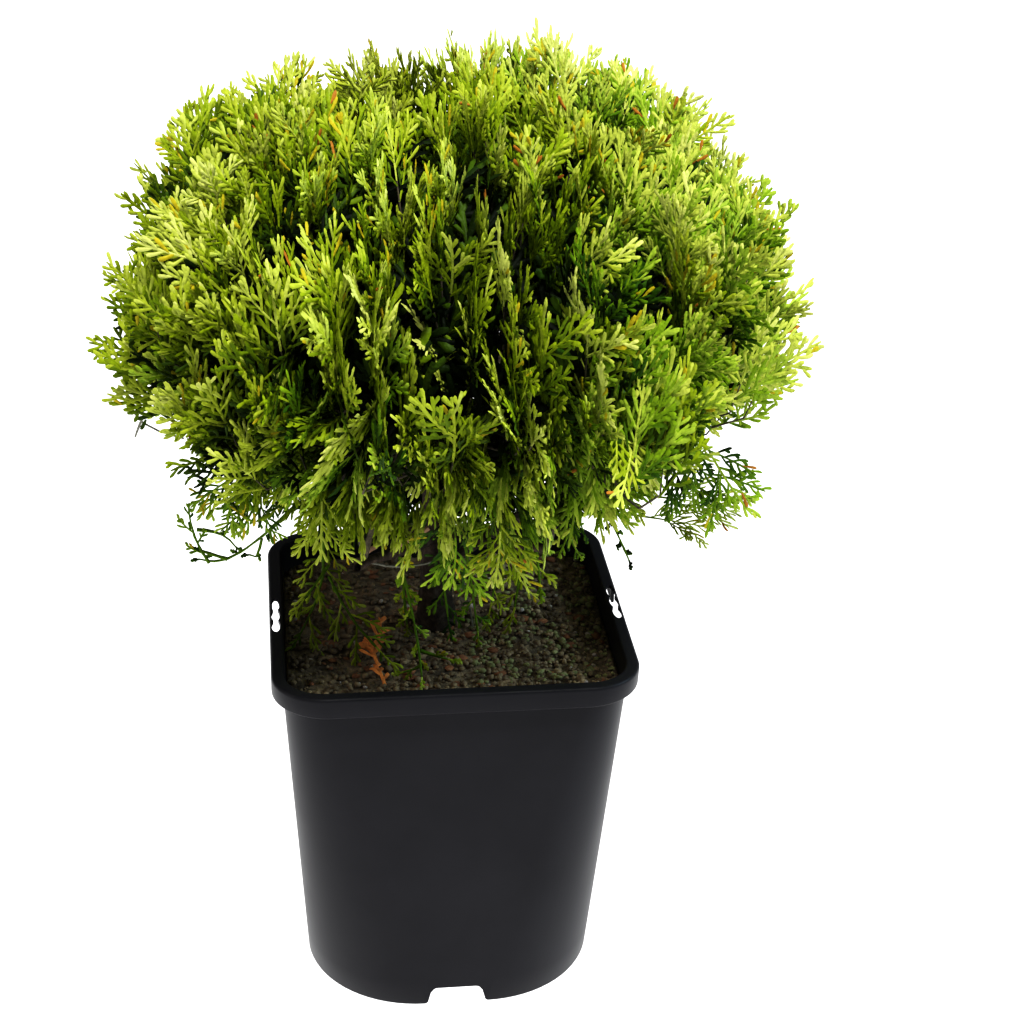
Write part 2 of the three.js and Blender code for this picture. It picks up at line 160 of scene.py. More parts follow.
def add_piece(piece, material, slot, *nodes):
    """Gives a piece its finish, ties it to the body, and hides the CAD nodes that it stands for."""
    piece.data.materials.clear()
    piece.data.materials.append(material)
    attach(piece, BODY)
    if nodes:
        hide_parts(*nodes)


def tube(points, radii, sides, relief=None):
    """Points and quads of a tube along a line, open at both ends. relief(s, angle) adds to its radius."""
    points = np.asarray(points, float)
    count = len(points)
    along = unit(np.gradient(points, axis=0))
    start = np.cross(along[0], UP if abs(along[0][2]) < 0.9 else np.array((1.0, 0, 0)))
    across = [unit(start)]
    for direction in along[1:]:
        carried = across[-1] - direction * (across[-1] @ direction)
        across.append(unit(carried))
    across = np.array(across)
    other = np.cross(along, across)
    angles = np.arange(sides) / sides * 2 * math.pi
    ring = np.cos(angles)[None, :, None] * across[:, None] + np.sin(angles)[None, :, None] * other[:, None]
    radius = np.broadcast_to(np.asarray(radii, float).reshape(-1, 1), (count, sides)).copy()
    if relief is not None:
        length = length_along(points)
        for i in range(count):
            for k in range(sides):
                radius[i, k] += relief(length[i], angles[k])
    surface = points[:, None] + ring * radius[..., None]
    return surface.reshape(-1, 3), closed_rings(count, sides)


class Joined:
    """Collects many small meshes and joins them."""

    def __init__(self):
        self.points, self.faces, self.count = [], {}, 0

    def add(self, points, *faces):
        for f in faces:
            self.faces.setdefault(np.shape(f)[1], []).append(np.asarray(f) + self.count)
        self.points.append(points)
        self.count += len(points)

    def make(self, name, smooth=True):
        faces = [np.concatenate(f) for f in self.faces.values()]
        return mesh_object(name, np.concatenate(self.points), *faces, smooth=smooth)


# ---- materials ----
def new_material(name, roughness, specular):
    material = bpy.data.materials.new(name)
    material.use_nodes = True
    tree = material.node_tree
    shader = tree.nodes["Principled BSDF"]
    shader.inputs["Roughness"].default_value = roughness
    shader.inputs["Specular IOR Level"].default_value = specular
    coordinates = tree.nodes.new("ShaderNodeTexCoord").outputs["Object"]
    return material, tree, shader, coordinates


def add_node(tree, kind, value, entry, output, **settings):
    """Output of a new shader node with these settings, fed by the value at its entry."""
    node = tree.nodes.new(f"ShaderNode{kind}")
    for name, setting in settings.items():
        node.inputs[name.replace("_", " ")].default_value = setting
    tree.links.new(value, node.inputs[entry])
    return node.outputs[output]


def add_noise(tree, coordinates, scale, detail=3.0, roughness=0.55):
    settings = {"Scale": scale, "Detail": detail, "Roughness": roughness}
    return add_node(tree, "TexNoise", coordinates, "Vector", "Fac", **settings)


def add_colour(tree, shader, value, stops):
    """Base colour that follows the value through (position, colour) stops."""
    node = tree.nodes.new("ShaderNodeValToRGB")
    while len(node.color_ramp.elements) < len(stops):
        node.color_ramp.elements.new(0.5)
    for element, (position, colour) in zip(node.color_ramp.elements, stops):
        element.position = position
        element.color = (*colour, 1.0)
    tree.links.new(value, node.inputs["Fac"])
    tree.links.new(node.outputs["Color"], shader.inputs["Base Color"])


def add_bump(tree, shader, height, strength, distance):
    normal = add_node(tree, "Bump", height, "Height", "Normal", Strength=strength, Distance=distance)
    tree.links.new(normal, shader.inputs["Normal"])


def vary_roughness(tree, shader, value, low, high):
    roughness = add_node(tree, "MapRange", value, "Value", "Result", To_Min=low, To_Max=high)
    tree.links.new(roughness, shader.inputs["Roughness"])


def shaded(colour, factor):
    return tuple(min(1.0, c * factor) for c in colour)


def scale_leaf(name, colour, specular):
    """Small overlapping scale leaves: mottled green with fine bumps and darker seams."""
    material, tree, shader, coordinates = new_material(name, 0.5, specular)
    mottle = add_noise(tree, coordinates, 260.0, 4.0)
    stops = [(0.30, shaded(colour, 0.72)), (0.52, colour), (0.72, shaded(colour, 1.2))]
    add_colour(tree, shader, mottle, stops)
    vary_roughness(tree, shader, mottle, 0.42, 0.62)
    seams = add_node(tree, "TexVoronoi", coordinates, "Vector", "Distance", Scale=620.0)
    add_bump(tree, shader, seams, 0.55, 0.0004)
    return material


def moulded_plastic():
    material, tree, shader, coordinates = new_material("pot_plastic", 0.4, 0.12)
    grain = add_noise(tree, coordinates, 900.0, 2.0)
    cloud = add_noise(tree, coordinates, 22.0, 3.0)
    stops = [(0.3, (0.0140, 0.0138, 0.0170)), (0.7, (0.0185, 0.0183, 0.0220))]
    add_colour(tree, shader, cloud, stops)
    vary_roughness(tree, shader, cloud, 0.36, 0.48)
    add_bump(tree, shader, grain, 0.12, 0.0002)
    return material


def mottled(name, scale, roughness, bump, distance, specular, *rows):
    """Rough natural surface in patches, whose colour runs through the rows (place, r, g, b)."""
    material, tree, shader, coordinates = new_material(name, roughness, specular)
    patches = add_noise(tree, coordinates, scale, 5.0, 0.65)
    stops = [(place, colour) for place, *colour in rows]
    add_colour(tree, shader, patches, stops)
    vary_roughness(tree, shader, patches, roughness - 0.1, min(1.0, roughness + 0.08))
    add_bump(tree, shader, add_noise(tree, coordinates, scale * 4, 4.0, 0.7), bump, distance)
    return material


LEAF_COLOURS = {
    "shade": (0.0035, 0.007, 0.002),
    "deep": (0.012, 0.026, 0.003),
    "green": (0.040, 0.076, 0.003),
    "mid": (0.106, 0.162, 0.003),
    "fresh": (0.212, 0.285, 0.007),
    "lime": (0.330, 0.400, 0.032),
    "bright": (0.440, 0.515, 0.082),
    "pale": (0.545, 0.600, 0.150),
    "gold": (0.430, 0.360, 0.018),
    "amber": (0.360, 0.150, 0.022),
    "rust": (0.800, 0.290, 0.085),
    "cool_green": (0.030, 0.078, 0.004),
    "cool_mid": (0.090, 0.172, 0.005),
    "cool_fresh": (0.185, 0.300, 0.011),
    "cool_lime": (0.300, 0.420, 0.042),
}
LEAF_ORDER = list(LEAF_COLOURS)
COOL_SHIFT = LEAF_ORDER.index("cool_green") - LEAF_ORDER.index("green")  # from a colour to its cooler kind
LEAF_STEPS = [0.05, 0.17, 0.31, 0.45, 0.60, 0.75, 0.97]  # tone at which each of the first seven colours ends
LEAF_SLOTS = {"shade": "foliage_dark", "deep": "foliage_dark", "green": "foliage_mid", "mid": "foliage_mid",
              "cool_green": "foliage_mid", "cool_mid": "foliage_mid"}

PLASTIC = moulded_plastic()
# Peat, crumb and moss are lighter than the real mix: painted light that makes up for the crown's shadow on
# it.
PEAT = mottled("peat", 120.0, 0.92, 0.8, 0.0015, 0.2,
               (0.30, 0.055, 0.040, 0.028), (0.5, 0.19, 0.140, 0.088), (0.72, 0.42, 0.30, 0.19))
CRUMB = mottled("crumb", 90.0, 0.95, 0.7, 0.0006, 0.15,
                (0.3, 0.080, 0.058, 0.038), (0.55, 0.28, 0.205, 0.125), (0.75, 0.58, 0.44, 0.28))
CHIP = mottled("bark_chip", 200.0, 0.85, 0.6, 0.0005, 0.3,
               (0.3, 0.13, 0.052, 0.024), (0.6, 0.34, 0.150, 0.070), (0.8, 0.52, 0.30, 0.17))
GRIT = mottled("grit", 300.0, 0.6, 0.3, 0.0002, 0.4,
               (0.3, 0.30, 0.24, 0.20), (0.6, 0.55, 0.47, 0.42), (0.8, 0.75, 0.70, 0.66))
MOSS = mottled("moss", 350.0, 0.9, 0.6, 0.0004, 0.3,
               (0.3, 0.12, 0.120, 0.050), (0.6, 0.310, 0.300, 0.140), (0.8, 0.60, 0.52, 0.30))
BARK = mottled("bark", 240.0, 0.88, 0.8, 0.0007, 0.3,
               (0.28, 0.018, 0.012, 0.009), (0.5, 0.060, 0.042, 0.030), (0.75, 0.15, 0.115, 0.085))
TWIG = mottled("twig_bark", 400.0, 0.8, 0.5, 0.0003, 0.3,
               (0.3, 0.035, 0.030, 0.020), (0.55, 0.10, 0.085, 0.055), (0.75, 0.20, 0.17, 0.11))
TAN_TWIG = mottled("tan_twig", 260.0, 0.75, 0.5, 0.0003, 0.3,
                   (0.3, 0.20, 0.12, 0.075), (0.55, 0.36, 0.23, 0.15), (0.75, 0.50, 0.36, 0.26))
GREY_TWIG = mottled("grey_twig", 300.0, 0.8, 0.5, 0.0003, 0.3,
                    (0.3, 0.15, 0.15, 0.12), (0.6, 0.28, 0.28, 0.23), (0.8, 0.40, 0.40, 0.35))
LEAVES = {name: scale_leaf(f"leaf_{name}", colour, 0.05 if name in ("shade", "deep") else 0.10)
          for name, colour in LEAF_COLOURS.items()}


# ---- pot ----
def wall_half(z):
    return lerp(FOOT_HALF, WALL_TOP_HALF, z / POT_HEIGHT)


def rounded_square(half, z, corner_steps=18, side_steps=8):
    """Ring of points at height z, whose corners share their centres with the outer wall's there."""
    corner = lerp(FOOT_CORNER, TOP_CORNER, z / POT_HEIGHT) + half - wall_half(z)
    flat = half - corner
    points = []
    for quarter in range(4):
        middle = (quarter + 0.5) * math.pi / 2
        centre = np.array((math.copysign(flat, math.cos(middle)), math.copysign(flat, math.sin(middle))))
        for step in range(corner_steps + 1):
            angle = (quarter + step / corner_steps) * math.pi / 2
            points.append(centre + corner * np.array((math.cos(angle), math.sin(angle))))
        end = points[-1]
        turn = np.array((-math.sin(quarter * math.pi / 2), math.cos(quarter * math.pi / 2)))
        forward = np.array((-turn[1], turn[0]))
        for step in range(1, side_steps):
            points.append(end + forward * 2 * flat * step / side_steps)
    return np.column_stack([points, np.full(len(points), z)])


def arc(centre_half, centre_z, radius, start, end, steps=5):
    """Profile points round a quarter or so of a circle, angles in degrees from outwards, anticlockwise."""
    angles = np.radians(np.linspace(start, end, steps))
    return [(centre_half + radius * math.cos(a), centre_z + radius * math.sin(a)) for a in angles]


def loft(rings, start_middle, end_middle):
    """Closed surface through rings of points, with a fan over the first and the last."""
    count = len(rings[0])
    points = np.concatenate([*rings, [start_middle, end_middle]])
    ring = np.arange(count)
    last = (len(rings) - 1) * count
    start_fan = np.column_stack([np.full(count, len(points) - 2), (ring + 1) % count, ring])
    end_fan = np.column_stack([np.full(count, len(points) - 1), last + ring, last + (ring + 1) % count])
    return points, closed_rings(len(rings), count), np.concatenate([start_fan, end_fan])


def pot_profile():
    flange_under = POT_HEIGHT - RIM_SKIN
    skirt_foot = POT_HEIGHT - RIM_DROP
    base_top = BASE_LIFT + BASE_THICK
    foot_outer = FOOT_HALF - FOOT_ROUND
    inner_top = WALL_TOP_HALF - WALL
    lip = RIM_ROUND / 2
    fillet = 0.001
    skirt_inner = RIM_HALF - RIM_SKIN
    edge = 0.0005
    foot_step = 0.0002
    levels = np.linspace(FOOT_ROUND * 2, flange_under - fillet, 14)
    profile = [(wall_half(BASE_LIFT) - WALL, BASE_LIFT), (foot_outer - FOOT_WIDTH, 0.0)]
    profile += arc(foot_outer - foot_step, FOOT_ROUND, FOOT_ROUND, -90, -10)
    profile += [(wall_half(z), z) for z in levels]
    profile += arc(wall_half(flange_under) + fillet, flange_under - fillet, fillet, 180, 90)
    profile += arc(skirt_inner - fillet, flange_under - fillet, fillet, 90, 0)
    profile += [(skirt_inner, skirt_foot + edge)]
    profile += arc(RIM_HALF - RIM_SKIN / 2, skirt_foot + RIM_SKIN / 2, RIM_SKIN / 2, 180, 360, 7)
    profile += arc(RIM_HALF - RIM_ROUND, POT_HEIGHT - RIM_ROUND, RIM_ROUND, 0, 90, 7)
    profile += arc(inner_top + lip, POT_HEIGHT - lip, lip, 90, 180)
    profile += [(wall_half(z) - WALL, z) for z in np.linspace(POT_HEIGHT - 3 * lip, base_top, 8)]
    return profile


def prism(outline, axis, low, high):
    """Solid of a closed outline swept along x, y or z, for cutting."""
    others = [a for a in range(3) if a != axis]
    if axis == 1:
        outline = outline[::-1]
    ends = []
    for place in (low, high):
        ring = np.zeros((len(outline), 3))
        ring[:, others] = outline
        ring[:, axis] = place
        ends.append(ring)
    count = len(outline)
    k = np.arange(count)
    after = (k + 1) % count
    quads = np.column_stack([k, after, after + count, k + count])
    caps = [k[::-1].tolist()], [(k + count).tolist()]
    return mesh_object("cutter", np.concatenate(ends), quads, *caps, smooth=False)


def notch_outline():
    slope = (NOTCH_BOTTOM - NOTCH_TOP) / 2 / NOTCH_HEIGHT
    heights = np.concatenate([[-0.002], np.linspace(0, NOTCH_FLARE, 6), [NOTCH_HEIGHT - NOTCH_ROUND]])
    drop = NOTCH_FLARE - np.clip(heights, 0, NOTCH_FLARE)
    flare = NOTCH_FLARE - np.sqrt(np.maximum(NOTCH_FLARE**2 - drop**2, 0))
    widths = NOTCH_TOP / 2 + slope * (NOTCH_HEIGHT - heights) + flare
    side = list(zip(widths, heights))
    side += arc(NOTCH_TOP / 2 - NOTCH_ROUND, NOTCH_HEIGHT - NOTCH_ROUND, NOTCH_ROUND, 20, 90, 5)
    return np.array(side + [(-x, z) for x, z in reversed(side)])


def oval(centre, half_x, half_y, steps=28):
    angles = np.arange(steps) / steps * 2 * math.pi
    return np.column_stack([centre[0] + half_x * np.cos(angles), centre[1] + half_y * np.sin(angles)])


def box_outline(x_low, x_high, y_low, y_high):
    return np.array([(x_low, y_low), (x_high, y_low), (x_high, y_high), (x_low, y_high)])


def pot_cutters():
    cutters = [prism(notch_outline(), 1, -0.1, 0.1)]
    for side in (-1, 1):
        inner, outer = side * GRIP_WINDOW_IN, side * (RIM_HALF + RIM_SKIN)
        ends = GRIP_MIDDLE - GRIP_WINDOW / 2, GRIP_MIDDLE + GRIP_WINDOW / 2
        window = box_outline(min(inner, outer), max(inner, outer), *ends)
        cutters.append(prism(window, 2, POT_HEIGHT - RIM_DROP - RIM_SKIN, POT_HEIGHT - GRIP_WINDOW_TOP))
        for place in range(GRIP_COUNT):
            centre = (side * GRIP_OUT, GRIP_MIDDLE + (place - (GRIP_COUNT - 1) / 2) * GRIP_PITCH)
            outline = oval(centre, GRIP_HALF_WIDTH, GRIP_HALF_LENGTH)
            cutters.append(prism(outline, 2, POT_HEIGHT - 2 * RIM_SKIN, POT_HEIGHT + RIM_SKIN))
    for index in range(DRAIN_COUNT):
        angle = (index + 0.5) / DRAIN_COUNT * 2 * math.pi
        centre = (DRAIN_RING * math.cos(angle), DRAIN_RING * math.sin(angle))
        outline = oval(centre, DRAIN_RADIUS, DRAIN_RADIUS)
        cutters.append(prism(outline, 2, BASE_LIFT - BASE_THICK, BASE_LIFT + 2 * BASE_THICK))
    return cutters


def make_pot():
    rings = [rounded_square(half, z) for half, z in pot_profile()]
    pot = mesh_object("nursery_pot", *loft(rings, (0, 0, BASE_LIFT), (0, 0, BASE_LIFT + BASE_THICK)))
    cutters = pot_cutters()
    for cutter in cutters:
        cut = pot.modifiers.new("cut", "BOOLEAN")
        cut.operation = "DIFFERENCE"
        cut.solver = "MANIFOLD"
        cut.object = cutter
    bpy.context.view_layer.update()
    cut_mesh = bpy.data.meshes.new_from_object(pot.evaluated_get(bpy.context.evaluated_depsgraph_get()))
    pot.modifiers.clear()
    pot.data = cut_mesh
    for cutter in cutters:
        bpy.data.objects.remove(cutter)
    pot.data.shade_smooth()
    pot.data.set_sharp_from_angle(angle=math.radians(38))
    add_piece(pot, PLASTIC, "pot_plastic", "pot")


# ---- potting mix ----
def mix_height_finder():
    """Height of the CAD's potting mix at a place."""
    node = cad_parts["potting_mix"]
    tree = BVHTree.FromPolygons([v.co for v in node.data.vertices], [p.vertices for p in node.data.polygons])
    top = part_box("potting_mix")[1].z

    def height(x, y):
        hit = tree.ray_cast(Vector((x, y, top + 0.01)), Vector((0, 0, -1)))[0]
        return top if hit is None else hit.z

    return height


def lump(rng, size, squash):
    """Uneven stone or crumb, from a ball of twenty faces: points and triangles."""
    golden = (1 + 5**0.5) / 2
    base = np.array([(-1, golden, 0), (1, golden, 0), (-1, -golden, 0), (1, -golden, 0), (0, -1, golden),
                     (0, 1, golden), (0, -1, -golden), (0, 1, -golden), (golden, 0, -1), (golden, 0, 1),
                     (-golden, 0, -1), (-golden, 0, 1)])
    faces = np.array([(0, 11, 5), (0, 5, 1), (0, 1, 7), (0, 7, 10), (0, 10, 11), (1, 5, 9), (5, 11, 4),
                      (11, 10, 2), (10, 7, 6), (7, 1, 8), (3, 9, 4), (3, 4, 2), (3, 2, 6), (3, 6, 8),
                      (3, 8, 9), (4, 9, 5), (2, 4, 11), (6, 2, 10), (8, 6, 7), (9, 8, 1)])
    points = unit(base) * rng.uniform(0.7, 1.15, (12, 1)) * rng.uniform(0.7, 1.2, 3)
    turn = np.array(Matrix.Rotation(rng.uniform(0, 6.28), 3, Vector(unit(rng.normal(size=3)))))
    return (points @ turn.T) * (size, size, size * squash), faces


def mix_half(z):
    """Half the width of the mix, which stands clear of the pot's wall by a small gap."""
    return wall_half(z) - WALL - MIX_GAP


def make_mix_surface(height):
    """The top as shrinking rings that follow the CAD's surface, and plain sides below it."""
    top_ring = rounded_square(mix_half(MIX_LEVEL), MIX_LEVEL, 24, 24)[:, :2]
    points, count = [], len(top_ring)
    for share in np.linspace(1, 0.02, 58):
        for x, y in top_ring * share:
            rough = noise.fractal(Vector((x, y, 0.3)) * 110, 0.7, 2.1, 4) * 0.0014
            rough += noise.noise(Vector((x, y, 1.7)) * 420) * 0.0006
            points.append((x, y, height(x * 0.995, y * 0.995) + rough - 0.0012))
    for z in (MIX_SHOULDER, MIX_FOOT):
        ring = rounded_square(mix_half(z), z, 24, 24)
        points = list(map(tuple, ring)) + points
    rings = np.array(points).reshape(-1, count, 3)
    surface = loft(rings, (0, 0, MIX_FOOT), rings[-1].mean(0))
    add_piece(mesh_object("peat_surface", *surface), PEAT, "potting_mix", "potting_mix")


def moss_patch(x, y):
    return x > 0.01 and y > -0.055 and noise.noise(Vector((x, y, 4.0)) * 38) > -0.05


def make_mix():
    """The surface of the mix, and the loose pieces on it."""
    rng = np.random.default_rng(5)
    height = mix_height_finder()
    inside = mix_half(MIX_LEVEL)
    make_mix_surface(height)

    def grit_place(x, y):
        return (y < -0.06 and x > -0.01) or rng.random() < 0.12

    def scatter(name, number, sizes, squash, material, keep=lambda x, y: True, smooth=False):
        joined = Joined()
        placed = 0
        while placed < number:
            x, y = rng.uniform(-inside, inside, 2)
            corner = np.maximum(np.abs((x, y)) - (inside - TOP_CORNER), 0)
            if np.hypot(*corner) > TOP_CORNER - 0.002 or not keep(x, y):
                continue
            size = rng.uniform(*sizes)
            points, faces = lump(rng, size, squash)
            joined.add(points + (x, y, height(x, y) - 0.0006 + size * squash * 0.3), faces)
            placed += 1
        add_piece(joined.make(name, smooth), material, "potting_mix")

    scatter("peat_crumbs", 2200, (0.0006, 0.0021), 0.75, CRUMB)
    scatter("bark_chips", 130, (0.0015, 0.0042), 0.25, CHIP)
    scatter("grit_stones", 70, (0.0008, 0.0021), 0.8, GRIT, grit_place, True)
    scatter("moss_tufts", 380, (0.0008, 0.0024), 0.6, MOSS, moss_patch, True)


# ---- trunk and boughs ----
def limb_line(name, slices):
    """Centres and radii along a CAD limb, from its end nearer the trunk's foot."""
    points = node_points(name)
    middle = points.mean(0)
    axis = np.linalg.svd(points - middle)[2][0]
    along = (points - middle) @ axis
    edges = np.linspace(along.min(), along.max(), slices + 1)
    centres, radii = [], []
    for low, high in zip(edges[:-1], edges[1:]):
        chosen = points[(along >= low - 1e-9) & (along <= high + 1e-9)]
        if len(chosen) >= 3:
            centre = chosen.mean(0)
            centres.append(centre)
            across = (chosen - centre) - np.outer((chosen - centre) @ axis, axis)
            radii.append(np.linalg.norm(across, axis=1).mean())
    first, last = points[np.argmin(along)], points[np.argmax(along)]
    centres = [centres[0] - axis * (centres[0] - first) @ axis, *centres,
               centres[-1] + axis * (last - centres[-1]) @ axis]
    radii = [radii[0], *radii, radii[-1]]
    centres, radii = np.array(centres), np.array(radii)
    foot = np.array((0.0, 0.0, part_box("trunk")[0].z))
    if np.linalg.norm(centres[0] - foot) > np.linalg.norm(centres[-1] - foot):
        centres, radii = centres[::-1], radii[::-1]
    return centres, radii


def resample(points, radii, step):
    """The same line in even steps, rounded at its corners, and its radii."""
    for _ in range(2):
        inner = (points[:-2] + 2 * points[1:-1] + points[2:]) / 4
        points = np.concatenate([points[:1], inner, points[-1:]])
    length = length_along(points)
    at = np.linspace(0, length[-1], max(3, int(length[-1] / step)))
    line = np.stack([np.interp(at, length, points[:, k]) for k in range(3)], 1)
    return line, np.interp(at, length, radii)


def bark_relief(depth, seed):
    """Long shallow plates and furrows that run along a limb."""

    def relief(s, angle):
        around = Vector((math.cos(angle) * 2.2, math.sin(angle) * 2.2, s * 60 + seed))
        fine = Vector((math.cos(angle) * 6, math.sin(angle) * 6, s * 150 + seed))
        return depth * (noise.noise(around) + 0.5 * noise.noise(fine))

    return relief


def make_limbs():
    for index, name in enumerate(["trunk", *BOUGHS]):
        if name == "trunk":
            slices, step, share, sides, depth = 14, 0.0016, 0.97, 26, 0.0011
        else:
            slices, step, share, sides, depth = 6, 0.002, 0.9, 12, 0.0004
        line, radius = resample(*limb_line(name, slices), step)
        limb = tube(line, radius * share, sides, bark_relief(depth, index))
        add_piece(mesh_object(f"{name}_bark", *limb), BARK, "bark", name)


# ---- crown: where the sprays end ----
def crown_box():
    corners = np.array([[list(c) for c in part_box(n)] for n in MASSES])
    return corners[:, 0].min(0), corners[:, 1].max(0)


CROWN_LOW, CROWN_HIGH = crown_box()
CROWN_CENTRE = (CROWN_LOW + CROWN_HIGH) / 2
CROWN_HALF = (CROWN_HIGH - CROWN_LOW) / 2


def masses_tree():
    """Search tree over the faces of all masses, and the mass that each face belongs to."""
    points, faces, owners = [], [], []
    for index, name in enumerate(MASSES):
        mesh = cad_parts[name].data
        start = len(points)
        points += [v.co.copy() for v in mesh.vertices]
        faces += [[start + i for i in p.vertices] for p in mesh.polygons]
        owners += [index] * len(mesh.polygons)
    return BVHTree.FromPolygons(points, faces), owners


def surface_samples(rng):
    """Points and owners, spread at random over the outside of the crown's masses."""
    tree, owners = masses_tree()
    found = []
    for index, name in enumerate(MASSES):
        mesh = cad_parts[name].data
        mesh.calc_loop_triangles()
        for face in mesh.loop_triangles:
            normal = np.array(face.normal)
            corners = [np.array(mesh.vertices[i].co) for i in face.vertices]
            middle = sum(corners) / 3
            if normal @ (middle - CROWN_CENTRE) <= 0:
                continue
            number = rng.poisson(face.area / SAMPLE_AREA)
            for _ in range(number):
                a, b = sorted(rng.random(2))
                point = corners[0] * a + corners[1] * (b - a) + corners[2] * (1 - b)
                _, _, hit, _ = tree.ray_cast(Vector(point + normal * 1e-4), Vector(normal), MASS_GAP)
                if hit is None or owners[hit] == index:
                    found.append((*point, index))
    found = np.array(found)
    return found[:, :3], found[:, 3].astype(int)


def surface_frame(points):
    """Outward, level-tangent and uphill directions of the crown's round form."""
    offset = (points - CROWN_CENTRE) / CROWN_HALF
    outward = unit(offset / CROWN_HALF)
    around = unit(np.cross(UP, outward) + np.array((1e-6, 0, 0)))
    uphill = np.cross(outward, around)
    return offset, outward, around, uphill


# Where the crown stands out beyond its round form (or in, below zero): place, reach and push, in mm.
SWELLS = [
    ((40, 38, 452), 44, 8),
    ((95, 26, 433), 36, 14),
    ((132, 4, 404), 30, -6),
    ((157, -30, 342), 38, -19),
    ((150, -52, 315), 30, -5),
    ((112, -77, 272), 34, -8),
    ((128, -20, 262), 42, -8),
    ((-120, 0, 262), 30, 4),
    ((-100, 38, 424), 40, 11),
    ((-145, 12, 382), 36, -6),
    ((-156, -20, 310), 46, -26),
    ((-30, -125, 270), 28, -14),
]
# Where the sprays part and show the dark between them: place and reach in mm, and how much wider apart. The
# sprays there are also painted a little darker, as painted shade.
PARTINGS = [((-20, -148, 355), 44, 0.10), ((20, -152, 325), 40, 0.06)]


def near(points, place, reach):
    """1 at the place, and less and less further from it than its reach, both in millimetres."""
    return np.exp(-(np.linalg.norm(points - np.array(place) * MM, axis=1) / (reach * MM)) ** 2)


def thin_out(points, wide, tall):
    """Keeps points that stand apart: by wide across and by tall up the crown."""
    _, _, around, uphill = surface_frame(points)
    high = ((points - CROWN_CENTRE) / CROWN_HALF)[:, 2]
    spread = 1 + sum(more * near(points, place, reach) for place, reach, more in PARTINGS)
    spread = spread * (1 - 0.12 * smooth_step(high, 0.35, 0.9))
    kept = []
    for i in range(len(points)):
        if kept:
            gap = points[kept] - points[i]
            across = (gap @ around[i]) / wide
            up = (gap @ uphill[i]) / tall
            deep = (gap @ np.cross(around[i], uphill[i])) / tall
            if (across**2 + up**2 + deep**2).min() < spread[i] ** 2:
                continue
        kept.append(i)
    return np.array(kept)


# ---- fronds: an axis with alternate lobes, flat in its own plane ----
def frond_lobes(rng, length, steps, subs):
    """Lobes of many fronds: u along the frond, v across it. Columns: frond, start u, start v, angle,
    length, bend, level (0 the axis, 1 a side lobe, 2 a lobe on a side lobe)."""
    fronds = len(length)
    bend = rng.normal(0, 0.20, fronds)

    def on_line(u0, v0, angle, size, curve, t):
        along = size * t * (1 - (curve * t) ** 2 / 6)
        aside = size * curve * t * t / 2
        c, s = np.cos(angle), np.sin(angle)
        return u0 + along * c - aside * s, v0 + along * s + aside * c, angle + curve * t

    zero = np.zeros(fronds)
    rows = [(np.arange(fronds), zero, zero, zero, length, bend, zero)]
    step = np.arange(steps)[None]
    t = 0.12 + 0.78 * (step + rng.uniform(0.25, 0.75, (fronds, steps))) / steps
    side = np.where((step + rng.integers(0, 2, (fronds, 1))) % 2 == 0, 1.0, -1.0)
    u, v, angle = on_line(*[a[:, None] for a in (zero, zero, zero, length, bend)], t)
    angle = angle + side * (np.radians(45 - 14 * t) + rng.normal(0, 0.08, t.shape))
    size = length[:, None] * (0.25 * (1 - t) ** 0.7 + 0.16) * rng.uniform(0.78, 1.15, t.shape)
    size = size * np.where(rng.random(t.shape) < 0.3, 1.3, 1.0)
    curve = -side * rng.uniform(0.1, 0.5, t.shape)
    frond = np.broadcast_to(np.arange(fronds)[:, None], t.shape)
    rows.append(tuple(a.ravel() for a in (frond, u, v, angle, size, curve, np.ones(t.shape))))
    if subs:
        number = np.clip(((size - 0.0075) / 0.0025).astype(int) + 1, 0, subs) * (size > 0.0075)
        j = np.arange(subs)[None, None]
        there = j < number[..., None]
        s = 0.28 + 0.5 * (j + rng.uniform(0.2, 0.8, (*t.shape, subs))) / np.maximum(number[..., None], 1)
        sub_side = np.where((j + (side[..., None] > 0)) % 2 == 0, 1.0, -1.0)
        u2, v2, angle2 = on_line(*[a[..., None] for a in (u, v, angle, size, curve)], s)
        angle2 = angle2 + sub_side * (np.radians(42) + rng.normal(0, 0.1, s.shape))
        size2 = np.clip(0.62 * size[..., None] * np.maximum(1 - s, 0) ** 0.5, 0.0028, 0.0060)
        size2 = size2 * rng.uniform(0.85, 1.15, s.shape)
        frond2 = np.broadcast_to(frond[..., None], s.shape)
        curve2 = -sub_side * rng.uniform(0.0, 0.35, s.shape)
        rows.append(tuple(a[there] for a in (frond2, u2, v2, angle2, size2, curve2, np.full(s.shape, 2.0))))
    return [np.concatenate(column) for column in zip(*rows)]


# A lobe's outline: how far along each section is, and its width there as a part of the full one.
LONG_LOBE = np.array(((0.0, 0.22, 0.42, 0.64, 0.86, 1.0), (0.74, 0.84, 0.76, 0.90, 1.02, 0.56)))
MIDDLE_LOBE = np.array(((0.0, 0.42, 0.84, 1.0), (0.56, 0.86, 1.06, 0.60)))
SHORT_LOBE = np.array(((0.0, 0.74, 1.0), (0.56, 1.06, 0.58)))
OUTLINES = [SHORT_LOBE, MIDDLE_LOBE, LONG_LOBE]


